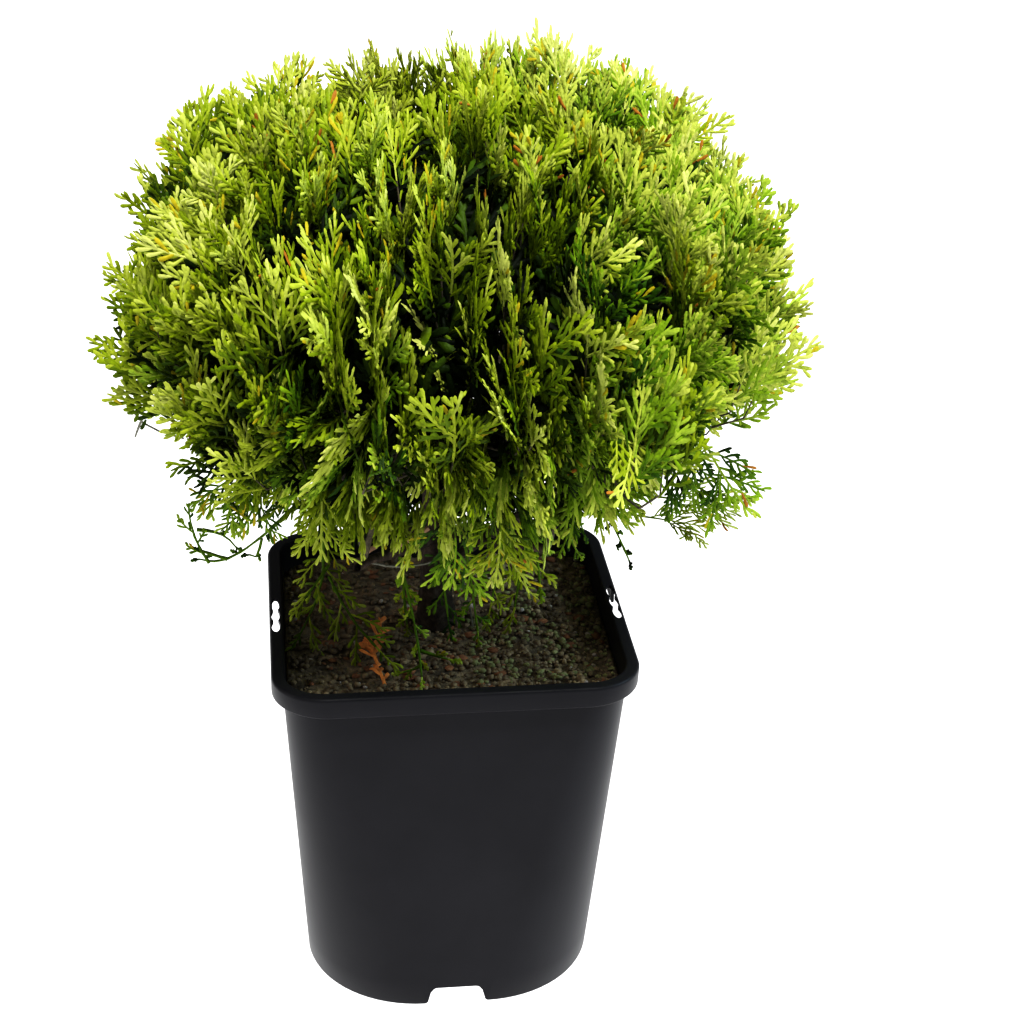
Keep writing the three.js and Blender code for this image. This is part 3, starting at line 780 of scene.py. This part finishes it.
def lobe_mesh(rows, outline, place):
    """Ridged strips with blunt tips, one for each row. place puts points of the fronds' planes into space."""
    frond, u, v, angle, size, curve, width, tilt = rows
    t, share = outline
    along = size[:, None] * t * (1 - (curve[:, None] * t) ** 2 / 6)
    aside = size[:, None] * curve[:, None] * t * t / 2
    c, s = np.cos(angle)[:, None], np.sin(angle)[:, None]
    half = width[:, None] / 2 * share
    lift = along * np.tan(tilt)[:, None]
    height = RIDGE * width[:, None] * np.minimum(share, 1.0)
    height[:, -1] *= 0.3
    columns = []
    for across, rise in ((-1.0, 0.0), (0.0, 1.0), (1.0, 0.0)):
        reach = aside + across * half
        spot = (u[:, None] + along * c - reach * s, v[:, None] + along * s + reach * c, lift + rise * height)
        columns.append(np.stack(spot, -1))
    points = np.stack(columns, 2)
    per = 3 * len(t)
    points = place(points.reshape(-1, 3), np.repeat(frond, per))
    corners = [3 * i + k for i in range(len(t) - 1) for k in (0, 1)]
    spans = np.array(corners)[:, None] + (0, 1, 4, 3)
    quads = spans[None] + (np.arange(len(u)) * per)[:, None, None]
    return points, quads.reshape(-1, 4)


def frond_placer(rng, fronds):
    """A function that puts points of the fronds' planes, cupped and arched a little, into space."""
    root, forward, normal = fronds["root"], unit(fronds["forward"]), fronds["normal"]
    normal = square_to(normal, forward)
    across = np.cross(normal, forward)
    cup = rng.normal(1.5, 5.0, len(root))
    arch = rng.normal(-2.0, 3.0, len(root))

    def place(points, owner):
        a, b, w = points.T
        w = w + cup[owner] * b * b + arch[owner] * a * a
        a, b, w = a[:, None], b[:, None], w[:, None]
        spot = root[owner] + forward[owner] * a + across[owner] * b + normal[owner] * w
        return bowed(spot, *[fronds[key][owner] for key in ("spray_root", "spray_forward", "bow")])

    return place


def lobe_colours(rng, fronds, lobes):
    """Index in LEAF_ORDER of each lobe's colour: lighter to a frond's tip, where the paler new growth is real
    and the darker base is painted shade, and gold at some tips.
    """
    frond, u, _, angle, size, _, level = lobes
    reach = (u + size * np.cos(angle)) / fronds["length"][frond]
    # Darker towards a frond's base: painted shade, over the real paler new growth at its tip.
    tone = fronds["tone"][frond] + 0.58 * (reach - 0.68) - 0.10 * (level == 0)
    tone = tone + rng.normal(0, 0.06, len(u))
    kind = np.searchsorted(LEAF_STEPS, tone)
    green, mid, lime, gold, amber = [LEAF_ORDER.index(n) for n in ("green", "mid", "lime", "gold", "amber")]
    cool = fronds["cool"][frond] & (kind >= green) & (kind <= lime)
    golden = rng.random(len(u)) < fronds["gold"][frond]
    golden = golden & (reach > 0.6) & (kind >= mid) & (level > 0)
    kind = np.where(golden, gold, kind)
    kind = np.where(cool & ~golden, kind + COOL_SHIFT, kind)
    return np.where(golden & (rng.random(len(u)) < 0.12) & (size < 0.008), amber, kind)


def fronds_to_pieces(rng, fronds, label, steps, subs=2, width=LOBE_WIDTH, coarse=False, only=None):
    """Joined lobes by colour, as (name, colour, mesh parts). fronds holds each one's root, forward, normal,
    length, tone, gold and cool, and its spray's root, direction and bow. only names dead fronds' colour."""
    lobes = frond_lobes(rng, fronds["length"], steps, subs)
    lobes[0] = lobes[0].astype(int)
    frond, level = lobes[0], lobes[-1]
    size, count = lobes[4], len(frond)
    place = frond_placer(rng, fronds)
    wide = width * np.where(level == 0, 0.86, 1.0) * rng.uniform(0.85, 1.18, count)
    wide *= np.clip(fronds["length"][frond] / FROND_LENGTH, 0.65, 1.3) ** 0.6
    tilt = rng.normal(0, 0.14, count) * (level > 0)
    kind = lobe_colours(rng, fronds, lobes)
    if only:
        kind = np.full(count, LEAF_ORDER.index(only))
    outline_of = np.where(level == 0, 2, np.where(size > 0.0058, 1, 0))
    if coarse:
        outline_of = np.minimum(outline_of, 1) * (level == 0)
    triangles = np.array([4 * (o.shape[1] - 1) for o in OUTLINES])[outline_of]
    rows = [*lobes[:-1], wide, tilt]
    pieces = []
    for index, colour in enumerate(LEAF_ORDER):
        mine = np.flatnonzero(kind == index)
        if not len(mine):
            continue
        mine = mine[np.argsort(frond[mine], kind="stable")]
        part_of = (np.cumsum(triangles[mine]) // MASS_LIMIT).astype(int)
        for part in range(part_of[-1] + 1):
            joined = Joined()
            chosen = mine[part_of == part]
            for shape, outline in enumerate(OUTLINES):
                some = chosen[outline_of[chosen] == shape]
                if len(some):
                    joined.add(*lobe_mesh([a[some] for a in rows], outline, place))
            pieces.append((f"leaves_{label}_{colour}_{part + 1}", colour, joined))
    return pieces


# ---- sprays: a stem with a frond at its end and fronds at its sides ----
def bowed(points, root, forward, bow):
    """Points of a spray, bent away by bow at its tip and by nothing at its root."""
    along = np.sum((points - root) * forward, -1, keepdims=True) / SPRAY_LENGTH
    return points + bow * np.maximum(along, 0) ** 2


def sprays_to_fronds(rng, plan, sides):
    """Fronds of many sprays, the foot of each spray's lowest side frond, and that of its end frond."""
    tip, forward, size = plan["tip"], plan["forward"], plan["size"]
    across = unit(np.cross(plan["normal"], forward))
    normal = np.cross(forward, across)
    root = tip - forward * (SPRAY_LENGTH * size)[:, None]
    shared = {"spray_root": root, "spray_forward": forward}
    shared.update((key, plan[key]) for key in ("bow", "gold", "cool"))
    count = len(tip)
    end_length = FROND_LENGTH * size * rng.uniform(0.9, 1.1, count)
    end_start = tip - forward * end_length[:, None]
    groups = [{"root": end_start, "forward": forward, "normal": normal, "length": end_length,
               "tone": plan["tone"] + 0.03, **shared}]
    first_side = rng.choice([-1.0, 1.0], count)
    # The end frond is a little lighter, and each side frond further back is darker: painted shade towards the
    # crown's inside.
    for index in range(sides):
        side = first_side * (1 if index % 2 == 0 else -1)
        back = (FIRST_SIDE + SIDE_STEP * index) * size * rng.uniform(0.88, 1.12, count)
        turn = side * np.radians(37) * rng.uniform(0.75, 1.25, count)
        direction = forward * np.cos(turn)[:, None] + across * np.sin(turn)[:, None]
        direction = unit(direction + normal * rng.normal(0, 0.10, (count, 1)))
        plane = normal + across * rng.normal(0, 0.13, (count, 1)) + forward * rng.normal(0, 0.08, (count, 1))
        groups.append({"root": tip - forward * back[:, None], "forward": direction, "normal": unit(plane),
                       "length": FROND_LENGTH * size * rng.uniform(0.70, 1.0, count),
                       "tone": plan["tone"] - 0.04 - 0.075 * index, **shared})
    fronds = {key: np.concatenate([g[key] for g in groups]) for key in groups[0]}
    lowest = bowed(tip - forward * (FORK_BACK * size)[:, None], root, forward, plan["bow"])
    return fronds, lowest, bowed(end_start, root, forward, plan["bow"])


def tufts(points):
    """Which tuft each point belongs to, and the tufts' centres."""
    centres = []
    for point in points:
        if not centres or np.linalg.norm(np.array(centres) - point, axis=1).min() > TUFT_SPACING:
            centres.append(point)
    centres = np.array(centres)
    gap = np.linalg.norm(points[:, None] - centres[None], axis=2)
    return gap.argmin(1), centres


def plan_sprays(rng, points):
    """Tip, direction, plane, bow, size, tone and goldness of the spray that ends near each point."""
    tuft, centres = tufts(points)
    points = points + (centres[tuft] - points) * rng.uniform(0.0, 0.22, (len(points), 1))
    offset, outward, around, _ = surface_frame(points)
    count = len(points)
    right, _, high = offset.T

    def by_tuft(spread, own):
        return rng.normal(0, spread, len(centres))[tuft] + rng.normal(0, own, count)

    lift = -0.45 + 0.55 * smooth_step(high, -0.62, -0.25) + 1.35 * smooth_step(high, -0.22, 0.35)
    lift = lift + by_tuft(0.22, 0.12)
    forward = unit(outward + UP * lift[:, None])
    sway = np.stack([by_tuft(0.13, 0.10) for _ in range(3)], 1)
    forward = unit(forward + sway)
    turn = by_tuft(0.22, 0.13)
    loose = rng.random(count) < 0.08
    turn = np.where(loose, rng.uniform(-1.5, 1.5, count), turn)
    level = square_to(around, forward)
    other = np.cross(forward, level)
    normal = level * np.cos(turn)[:, None] + other * np.sin(turn)[:, None]
    normal = np.where((normal @ LIT_SIDE < 0)[:, None], -normal, normal)
    bow = UP * (0.006 * lift)[:, None] + rng.normal(0, 0.0035, (count, 3))
    push = sum(out * MM * near(points, place, reach) for place, reach, out in SWELLS)
    parted = sum(near(points, place, reach) for place, reach, _ in PARTINGS)
    inset = np.clip(rng.gamma(1.5, 0.0042, count), 0, 0.020) + 0.003 + by_tuft(0.0018, 0.0) + 0.0015 - push
    size = rng.uniform(0.85, 1.12, count) * (1 - 0.16 * smooth_step(high, 0.3, 0.9))
    # Painted light and shade: lighter upwards to a little above the middle, and darker the deeper a spray
    # sits, which is painted shade with some real darker older foliage inside. The tuft-by-tuft part is
    # random.
    tone = 0.56 + 0.08 * smooth_step(high, -0.8, 0.3) + by_tuft(0.04, 0.12) - 22.0 * (inset + push - 0.009)
    # Painted light: lighter to the right and darker to the left.
    tone += 0.06 * smooth_step(right, -0.2, 0.8) - 0.08 * smooth_step(-right, 0.05, 0.6)
    # Painted shade: darker in the partings and on the underside.
    tone -= 0.02 * parted + 0.02 * smooth_step(-high, 0.35, 0.95)
    gold = 0.02 + 0.08 * smooth_step(0.4 * right + high, -0.1, 1.1)
    gold = gold * rng.choice([0.2, 1.0, 2.6], count, p=[0.60, 0.30, 0.10])
    tip = points - forward * inset[:, None] - bow
    cool = by_tuft(0.25, 0.25) + 1.2 * smooth_step(right, -0.1, 0.8) - 0.25 * high > 0.45
    return {"tip": tip, "forward": forward, "normal": normal, "bow": bow, "size": size, "tone": tone,
            "gold": gold, "cool": cool}


# ---- twigs: from the boughs to the sprays ----
def bent_line(start, start_direction, end, end_direction, steps):
    """Points of a line that bends a little from the one direction to the other."""
    length = np.linalg.norm(end - start)
    way = (end - start) / max(length, 1e-9)
    reach = min(length * 0.35, 0.012)
    a, b = start + unit(start_direction + way) * reach, end - unit(end_direction + way) * reach
    t = np.linspace(0, 1, steps)[:, None]
    return (1 - t) ** 3 * start + 3 * (1 - t) ** 2 * t * a + 3 * (1 - t) * t * t * b + t**3 * end


def split_in_two(rng, places):
    """Two groups of nearby places."""
    middle = places.mean(0)
    axis = np.linalg.svd(places - middle)[2][0]
    along = (places - middle) @ axis
    return along > np.median(along) + rng.normal(0, 0.15) * along.std()


def grow_twigs(rng, twigs, start, direction, roots, headings, radius):
    """Seeded branching rule: a limb forks towards two halves of its sprays until each twig bears a few."""
    if len(roots) <= 4:
        for root, heading in zip(roots, headings):
            line = bent_line(start, direction, root, heading, 4)
            radii = np.linspace(max(radius * 0.8, 0.0007), TWIG_END, len(line))
            twigs.add(*tube(line, radii, 3))
        return
    second = split_in_two(rng, roots)
    if second.all() or not second.any():
        second = np.arange(len(roots)) % 2 == 0
    for group in (second, ~second):
        aim = roots[group].mean(0)
        share = 0.45 if len(roots) > 8 else 0.6
        fork = start + (aim - start) * share + rng.normal(0, 0.0015, 3)
        way = unit(aim - start)
        line = bent_line(start, direction, fork, way, 5)
        next_radius = radius * 0.76
        twigs.add(*tube(line, np.linspace(radius, next_radius, len(line)), 5))
        grow_twigs(rng, twigs, fork, way, roots[group], headings[group], next_radius)


def mass_root(name, roots):
    """Where the twigs of a mass leave its limb, and which way they head."""
    bough = name.replace("foliage_", "bough_")
    if bough in BOUGHS:
        centres, _ = limb_line(bough, 6)
    else:
        centres, _ = limb_line("trunk", 14)
    aim = roots.mean(0)
    start = centres[np.linalg.norm(centres - aim, axis=1).argmin()]
    return start, unit(aim - start)


# ---- crown ----
def add_leaves(pieces, nodes=()):
    """Adds joined leaves, the first of which stands for the nodes."""
    for name, colour, joined in pieces:
        add_piece(joined.make(name), LEAVES[colour], LEAF_SLOTS.get(colour, "foliage_bright"), *nodes)
        nodes = ()


def spaced_points(rng, wide, tall):
    points, owners = surface_samples(rng)
    order = rng.permutation(len(points))
    points, owners = points[order], owners[order]
    kept = thin_out(points, wide, tall)
    return points[kept], owners[kept]


def make_crown():
    rng = np.random.default_rng(21)
    points, owners = spaced_points(rng, SPRAY_WIDE, SPRAY_TALL)
    plan = plan_sprays(rng, points)
    fronds, forks, ends = sprays_to_fronds(rng, plan, 4)
    _, outward, _, _ = surface_frame(points)
    headings = unit(plan["forward"] * 0.3 + outward)
    roots = forks - headings * TWIG_REACH
    add_leaves(fronds_to_pieces(rng, fronds, "outer", steps=9), MASSES)

    twigs = Joined()
    for index, name in enumerate(MASSES):
        mine = owners == index
        start, direction = mass_root(name, roots[mine])
        grow_twigs(rng, twigs, start, direction, roots[mine], headings[mine], LIMB_END)
    add_piece(twigs.make("twigs"), TWIG, "bark", *MASSES)
    stems = Joined()
    for root, fork, end in zip(roots, forks, ends):
        stems.add(*tube(np.array((root, fork, end)), STEM_RADII, 3))
    add_piece(stems.make("spray_stems"), TWIG, "bark")


def make_inner():
    """Sprays deeper in the crown whose near-black colours are painted shade, so that the gaps between the
    outer ones end in the dark.
    """
    rng = np.random.default_rng(34)
    points, _ = spaced_points(rng, SPRAY_WIDE * 1.2, SPRAY_TALL)
    plan = plan_sprays(rng, points)
    _, outward, around, uphill = surface_frame(points)
    lying = rng.random(len(points)) < 0.5
    along = unit(uphill + around * rng.normal(0, 0.9, (len(points), 1)) + outward * 0.3)
    plan["forward"] = np.where(lying[:, None], along, plan["forward"])
    plan["normal"] = np.where(lying[:, None], outward, plan["normal"]) + rng.normal(0, 0.4, outward.shape)
    depth = np.where(lying, rng.uniform(0.034, 0.062, len(points)), rng.uniform(0.024, 0.050, len(points)))
    plan["tip"] = points - outward * depth[:, None] + along * 0.02 * lying[:, None]
    plan["size"] = plan["size"] * np.where(lying, 1.4, 1.1)
    plan["bow"] = np.zeros_like(points)
    # Near-black tone: painted shade inside the crown.
    plan["tone"] = rng.normal(0.05, 0.07, len(points))
    plan["gold"] = plan["gold"] * 0
    fronds, _, _ = sprays_to_fronds(rng, plan, 3)
    add_leaves(fronds_to_pieces(rng, fronds, "inner", steps=5, subs=0, width=LOBE_WIDTH * 1.6, coarse=True))


# ---- sprays that hang below the crown ----
def flat_line(y, *places):
    return [(x, y, z) for x, z in places]


# Sprigs below the crown: a stem, the length of its fronds and their spacing, all in mm, and their tone.
SPRIGS = [
    (flat_line(-20, (-70, 252), (-76.6, 244.2), (-86.9, 234.2), (-96.6, 227.5), (-104.6, 220.6),
               (-111.6, 222.7), (-115.7, 224.7)), 5, 13, 0.22),
    (flat_line(-20, (-111.6, 222.7), (-116.3, 230.1), (-118.8, 237.3), (-119, 244)), 10, 4.2, 0.42),
    (flat_line(-20, (-116.5, 240), (-110.3, 240.5), (-105.2, 237.9), (-101.1, 235.4), (-99.2, 230.6)),
     4.6, 10, 0.25),
    (flat_line(-20, (-86.9, 234.2), (-87.8, 222.9), (-91.7, 218.9), (-93, 226.1)), 3.6, 7.5, 0.20),
    (flat_line(-20, (-103.1, 224.2), (-107.3, 226.1), (-111.9, 227.5), (-115.5, 229.5)), 4, 6, 0.30),
    (flat_line(-15, (68, 256), (71.3, 245.5), (79, 232.1), (82.7, 221.3), (86.4, 213.1)), 5.5, 5, 0.12),
    (flat_line(-15, (56, 256), (60, 240), (64, 229)), 8, 6, 0.15),
    ([(-60, 3, 240), (-56, 1, 215), (-56, -3, 204), (-63, -8, 191), (-69, -12, 181.5)], 18.5, 5.6, 0.58),
    ([(-56, -3, 204), (-51, -13, 193), (-44, -22, 185), (-35.5, -30, 180)], 17.5, 5.8, 0.52),
    ([(-56, -3, 210), (-61, -10, 206), (-68, -14, 198.5)], 13, 5, 0.66),
    ([(-26, -30, 236), (-20.1, -33, 211), (-17.8, -38, 197), (-15.5, -46, 186), (-15.8, -57, 178.5)],
     7.5, 7, 0.55),
    ([(-22.5, -30, 217), (-22.2, -26, 202), (-20.3, -24, 188)], 7.5, 3.5, 0.50),
    ([(-15.5, -46, 186), (-10, -47, 183.5), (-3, -47, 181.5)], 7, 4.5, 0.55),
    ([(-15.7, -52, 181.5), (-19, -54, 180), (-24, -53, 179)], 6.5, 4, 0.55),
    ([(-6, -30, 236), (-4, -34, 213), (-2, -36, 198)], 14, 5.5, 0.26),
    ([(6, -30, 236), (10.5, -34, 208), (12, -36, 190)], 10, 6, 0.44),
    ([(24, -36, 244), (22, -34, 220), (19, -31, 202)], 16.5, 6, 0.58),
    ([(34, -36, 240), (32, -34, 215), (30, -31, 199)], 16.5, 6, 0.62),
    ([(38, -32, 244), (40, -30, 225), (42, -28, 210)], 15, 6, 0.52),
    ([(50, -22, 244), (55.5, -16, 230), (60, -14, 221)], 14, 6.5, 0.42),
]
# Sprays that stand out of the crown's outline: root and tip in mm, the way the face looks, and tone.
STRAYS = [
    ((92, -10, 245), (140, -14, 239), (0.05, -0.42, 0.90), 0.92),
    ((86, -12, 236), (125.6, -16, 230), (0.05, -0.42, 0.90), 0.92),
    ((108, -30, 295), (137, -32, 244), (0.10, -0.90, 0.40), 0.50),
    ((96, -28, 290), (118, -32, 244), (-0.20, -0.90, 0.40), 0.44),
    ((-85, -30, 295), (-112, -32, 250), (0.15, -0.90, 0.40), 0.50),
    ((-76, -28, 282), (-98, -32, 240), (0.00, -0.90, 0.40), 0.40),
    ((-5, -85, 285), (0, -74, 234), (0.10, -0.90, 0.40), 0.50),
    ((16, -88, 295), (15, -98, 248), (0.10, -0.80, 0.45), 0.66),
    ((-60, -75, 300), (-61, -86, 256), (-0.10, -0.85, 0.45), 0.68),
    ((50, -118, 346), (72, -140, 312), (0.20, -0.90, 0.35), 0.78),
    # These five hang at the back under the crown, and their low tone is painted shade.
    ((-40, 40, 265), (-38, 34, 214), (0.10, -0.90, 0.40), 0.24),
    ((-15, 40, 265), (-18, 34, 211), (-0.20, -0.90, 0.40), 0.20),
    ((10, 40, 265), (7, 34, 212), (0.20, -0.90, 0.40), 0.24),
    ((35, 40, 265), (30, 34, 214), (0.00, -0.90, 0.40), 0.20),
    ((52, 40, 265), (54, 34, 215), (0.20, -0.90, 0.40), 0.26),
]
# Sprays that hang at the back, in the same form, whose low tone is painted shade.
BACK_SPRAYS = [
    ((-50, 46, 262), (-56, 42, 207), (0.10, -0.90, 0.40), 0.22),
    ((-36, 50, 262), (-38, 44, 204), (-0.10, -0.90, 0.40), 0.25),
    ((-26, 46, 262), (-28, 42, 207), (0.10, -0.90, 0.40), 0.20),
    ((-8, 48, 262), (-12, 42, 203), (0.00, -0.90, 0.40), 0.24),
    ((10, 48, 262), (7, 44, 203), (-0.20, -0.90, 0.40), 0.20),
    ((26, 46, 262), (23, 42, 202), (0.10, -0.90, 0.40), 0.25),
    ((66, 40, 262), (70, 38, 208), (-0.10, -0.90, 0.40), 0.28),
    ((48, 44, 270), (52, 40, 222), (0.10, -0.90, 0.40), 0.22),
]
BENT_STEM = flat_line(-35, (-34.5, 236), (-44, 236.2), (-42.6, 225.1), (-38.1, 227), (-29, 232.2),
                      (-21.7, 237.5), (-10.7, 244.2))
BARE_TWIGS = [
    flat_line(-30, (-38.1, 225), (-30, 221.4), (-22.4, 221.3), (-10.4, 221.6), (-2.9, 226)),
    flat_line(-25, (4, 220), (6.8, 206.3), (10.6, 197.6), (11, 185.7)),
    flat_line(-20, (-143.6, 306.1), (-142.7, 299.8), (-139.1, 293.8), (-134.9, 289.8), (-120, 286)),
    flat_line(-20, (-139.1, 293.8), (-137.5, 296.5), (-136.6, 299)),
    flat_line(-20, (-139.1, 293.8), (-141, 290), (-141.6, 287.5)),
]
# A dead spray on the mix: root, heading and length of each of its fronds.
DEAD_FRONDS = [((-0.0330, -0.058), (-0.10, 1.0), 0.022), ((-0.0352, -0.040), (-0.15, 1.0), 0.026),
               ((-0.0360, -0.024), (0.45, 1.0), 0.022), ((-0.0365, -0.030), (-0.50, 1.0), 0.014)]


def sprig_fronds(rng, line, length, spacing, tone):
    """Alternate fronds along a stem and one at its end: rows of root, direction, plane, length and tone."""
    line, _ = resample(line, np.zeros(len(line)), spacing)
    along = unit(np.gradient(line, axis=0))
    rows = []
    for index in range(1, len(line)):
        plane = unit(np.array((rng.normal(0, 0.25), -1.0, 0.35 + rng.normal(0, 0.25))))
        across = np.cross(plane, along[index])
        turn = math.radians(rng.uniform(32, 50)) * (1 if index % 2 else -1)
        direction = along[index] * math.cos(turn) + across * math.sin(turn)
        if index == len(line) - 1:
            direction = along[index]
        reach = length * rng.uniform(0.8, 1.15)
        tip = line[index] + direction * reach
        over = np.abs(tip[:2]).max() - (wall_half(tip[2]) - POT_CLEARANCE)
        if tip[2] < POT_HEIGHT + 0.004 and over > 0:
            reach = max(reach - over * 1.5, 0.004)
        rows.append((line[index], direction, plane, reach, tone + rng.normal(0, 0.05)))
    return rows


def rows_to_fronds(rows):
    root, forward, normal, length, tone = [np.array(column) for column in zip(*rows)]
    return {"root": root, "forward": forward, "normal": normal, "length": length, "tone": tone,
            "gold": np.full(len(root), 0.03), "cool": tone < 0.5, "spray_root": root,
            "spray_forward": forward, "bow": root * 0}


def make_hanging():
    rng = np.random.default_rng(8)
    rows = []
    stems = Joined()
    for line, length, spacing, tone in SPRIGS:
        line = np.array(line) * MM
        rows += sprig_fronds(rng, line, length * MM, spacing * MM, tone)
        stem, radii = resample(line, np.linspace(0.00085, 0.00050, len(line)), 0.003)
        stems.add(*tube(stem, radii * rng.uniform(0.7, 1.35, len(radii)), 6))
    add_leaves(fronds_to_pieces(rng, rows_to_fronds(rows), "hanging", steps=5, subs=1), HANGING)
    add_piece(stems.make("hanging_stems"), LEAVES["cool_mid"], "foliage_mid", *HANGING)


def make_strays(sprays, label, seed):
    rng = np.random.default_rng(seed)
    root, tip, face, tone = [np.array(column) for column in zip(*sprays)]
    root, tip = root * MM, tip * MM
    plan = {"tip": tip, "forward": unit(tip - root), "normal": unit(face), "tone": tone, "cool": tone < 0.6,
            "size": np.linalg.norm(tip - root, axis=1) / SPRAY_LENGTH, "gold": np.full(len(tip), 0.10),
            "bow": np.tile((0.0, 0.0, -MM), (len(tip), 1))}
    fronds, _, ends = sprays_to_fronds(rng, plan, 4)
    add_leaves(fronds_to_pieces(rng, fronds, label, steps=9, width=0.0015))
    stems = Joined()
    for start, end in zip(root, ends):
        stems.add(*tube(np.linspace(start, end, 3), np.linspace(0.0007, 0.0004, 3), 4))
    add_piece(stems.make(f"{label}_stems"), LEAVES["mid"], "foliage_mid")


def make_bare_twigs():
    stem, radii = resample(np.array(BENT_STEM) * MM, np.full(len(BENT_STEM), 0.0011), 0.0012)
    add_piece(mesh_object("bent_stem", *tube(stem, radii, 10, bark_relief(0.00035, 40))), TAN_TWIG, "bark")
    twigs = Joined()
    for index, line in enumerate(BARE_TWIGS):
        twig, radii = resample(np.array(line) * MM, np.linspace(0.0007, 0.0004, len(line)), 0.0015)
        twigs.add(*tube(twig, radii, 6, bark_relief(0.0002, 50 + index)))
    add_piece(twigs.make("bare_twigs"), GREY_TWIG, "bark")


def make_dead_spray():
    rng = np.random.default_rng(77)
    height = mix_height_finder()
    plane = unit(np.array((0.15, -0.45, 0.9)))
    rows = [((x, y, height(x, y) + 0.003), unit(np.array((right, back, 0.12))), plane, length, 0.5)
            for (x, y), (right, back), length in DEAD_FRONDS]
    fronds = rows_to_fronds(rows)
    add_leaves(fronds_to_pieces(rng, fronds, "dead", steps=5, subs=0, width=0.0027, only="rust"))


# ---- stage, light and camera ----
CAMERA_PLACE = Vector((-0.08028, -0.92485, 0.69186))
CAMERA_DOWN = 0.4563  # radians below level
CAMERA_HEADING = 0.1197  # radians from +Y towards +X
CAMERA_ROLL = 0.0177
CAMERA_LENS = 76.67
CAMERA_SKEW = (0.000652, -0.000547)  # the optical axis's small offset to the right and up
TONE_CURVE = ((0.04, 0.022), (0.15, 0.125), (0.5, 0.53))  # between black and white


def make_camera():
    level_forward = Vector((math.sin(CAMERA_HEADING), math.cos(CAMERA_HEADING), 0))
    level_right = Vector((math.cos(CAMERA_HEADING), -math.sin(CAMERA_HEADING), 0))
    forward = level_forward * math.cos(CAMERA_DOWN) - Vector((0, 0, math.sin(CAMERA_DOWN)))
    level_up = level_forward * math.sin(CAMERA_DOWN) + Vector((0, 0, math.cos(CAMERA_DOWN)))
    right = level_right * math.cos(CAMERA_ROLL) + level_up * math.sin(CAMERA_ROLL)
    up = level_up * math.cos(CAMERA_ROLL) - level_right * math.sin(CAMERA_ROLL)
    forward = (forward + right * CAMERA_SKEW[0] + up * CAMERA_SKEW[1]).normalized()
    right = forward.cross(up).normalized()
    up = right.cross(forward)
    camera = new_object("camera", bpy.data.cameras.new("camera"))
    camera.data.lens = CAMERA_LENS
    camera.data.sensor_width = 36.0
    camera.data.clip_start, camera.data.clip_end = 0.05, 20.0
    turn = Matrix((right, up, -forward)).transposed().to_4x4()
    camera.matrix_world = Matrix.Translation(CAMERA_PLACE) @ turn
    bpy.context.scene.camera = camera


def area_light(name, place, target, size, power, colour, reach):
    """Soft round lamp that lights what the collection reach lets it."""
    light = bpy.data.lights.new(name, "AREA")
    light.shape = "DISK"
    light.size = size
    light.energy = power
    light.color = colour
    lamp = new_object(name, light)
    lamp.location = place
    lamp.rotation_mode = "QUATERNION"
    lamp.rotation_quaternion = (Vector(target) - Vector(place)).to_track_quat("-Z", "Y")
    lamp.light_linking.receiver_collection = reach


def set_tone_curve():
    """Standard view, a little brighter, with deeper shadows."""
    view = bpy.context.scene.view_settings
    view.view_transform = "Standard"
    view.exposure = 0.38
    view.use_curve_mapping = True
    curve = view.curve_mapping.curves[3]
    for place, height in TONE_CURVE:
        curve.points.new(place, height)
    view.curve_mapping.update()


def make_stage():
    size = 6.0
    floor = mesh_object("floor", [(-size, -size, 0), (size, -size, 0), (size, size, 0), (-size, size, 0)],
                        [(0, 1, 2, 3)])
    material, tree, shader, coordinates = new_material("floor_paint", 0.8, 0.1)
    cloud = add_noise(tree, coordinates, 3.0)
    stops = [(0.3, (0.70, 0.70, 0.70)), (0.7, (0.72, 0.72, 0.72))]
    add_colour(tree, shader, cloud, stops)
    floor.data.materials.append(material)

    target = (0, 0, 0.3)
    plant_only = bpy.data.collections.new("all_but_the_floor")
    plant_only.objects.link(floor)
    plant_only.collection_objects[0].light_linking.link_state = "EXCLUDE"
    area_light("key", (0.20, -0.70, 1.95), target, 0.50, 42.0, (1.0, 0.985, 0.95), plant_only)
    area_light("right_side", (1.35, -0.25, 1.0), target, 0.6, 11.5, (0.66, 0.88, 1.0), plant_only)
    area_light("left_side", (-1.35, -0.15, 0.9), target, 0.6, 2.6, (1.0, 0.96, 0.90), plant_only)
    wash = bpy.data.lights.new("floor_wash", "SUN")
    wash.energy = 5.6
    wash_lamp = new_object("floor_wash", wash)
    only_floor = bpy.data.collections.new("floor_wash_reach")
    only_floor.objects.link(floor)
    wash_lamp.light_linking.receiver_collection = only_floor
    wash_lamp.light_linking.blocker_collection = only_floor

    world = bpy.data.worlds.new("studio")
    world.use_nodes = True
    tree = world.node_tree
    background, backdrop = tree.nodes["Background"], tree.nodes.new("ShaderNodeBackground")
    for node, strength in ((background, 0.12), (backdrop, 1.0)):
        node.inputs["Strength"].default_value = strength
        node.inputs["Color"].default_value = (1, 1, 1, 1)
    path = tree.nodes.new("ShaderNodeLightPath")
    mix = tree.nodes.new("ShaderNodeMixShader")
    tree.links.new(path.outputs["Is Camera Ray"], mix.inputs["Fac"])
    tree.links.new(background.outputs[0], mix.inputs[1])
    tree.links.new(backdrop.outputs[0], mix.inputs[2])
    tree.links.new(mix.outputs[0], tree.nodes["World Output"].inputs["Surface"])
    bpy.context.scene.world = world
    set_tone_curve()


# ---- assembly ----
make_camera()
make_stage()
make_pot()
make_mix()
make_limbs()
make_crown()
make_inner()
make_hanging()
make_strays(STRAYS, "stray", 13)
make_strays(BACK_SPRAYS, "back", 15)
make_bare_twigs()
make_dead_spray()
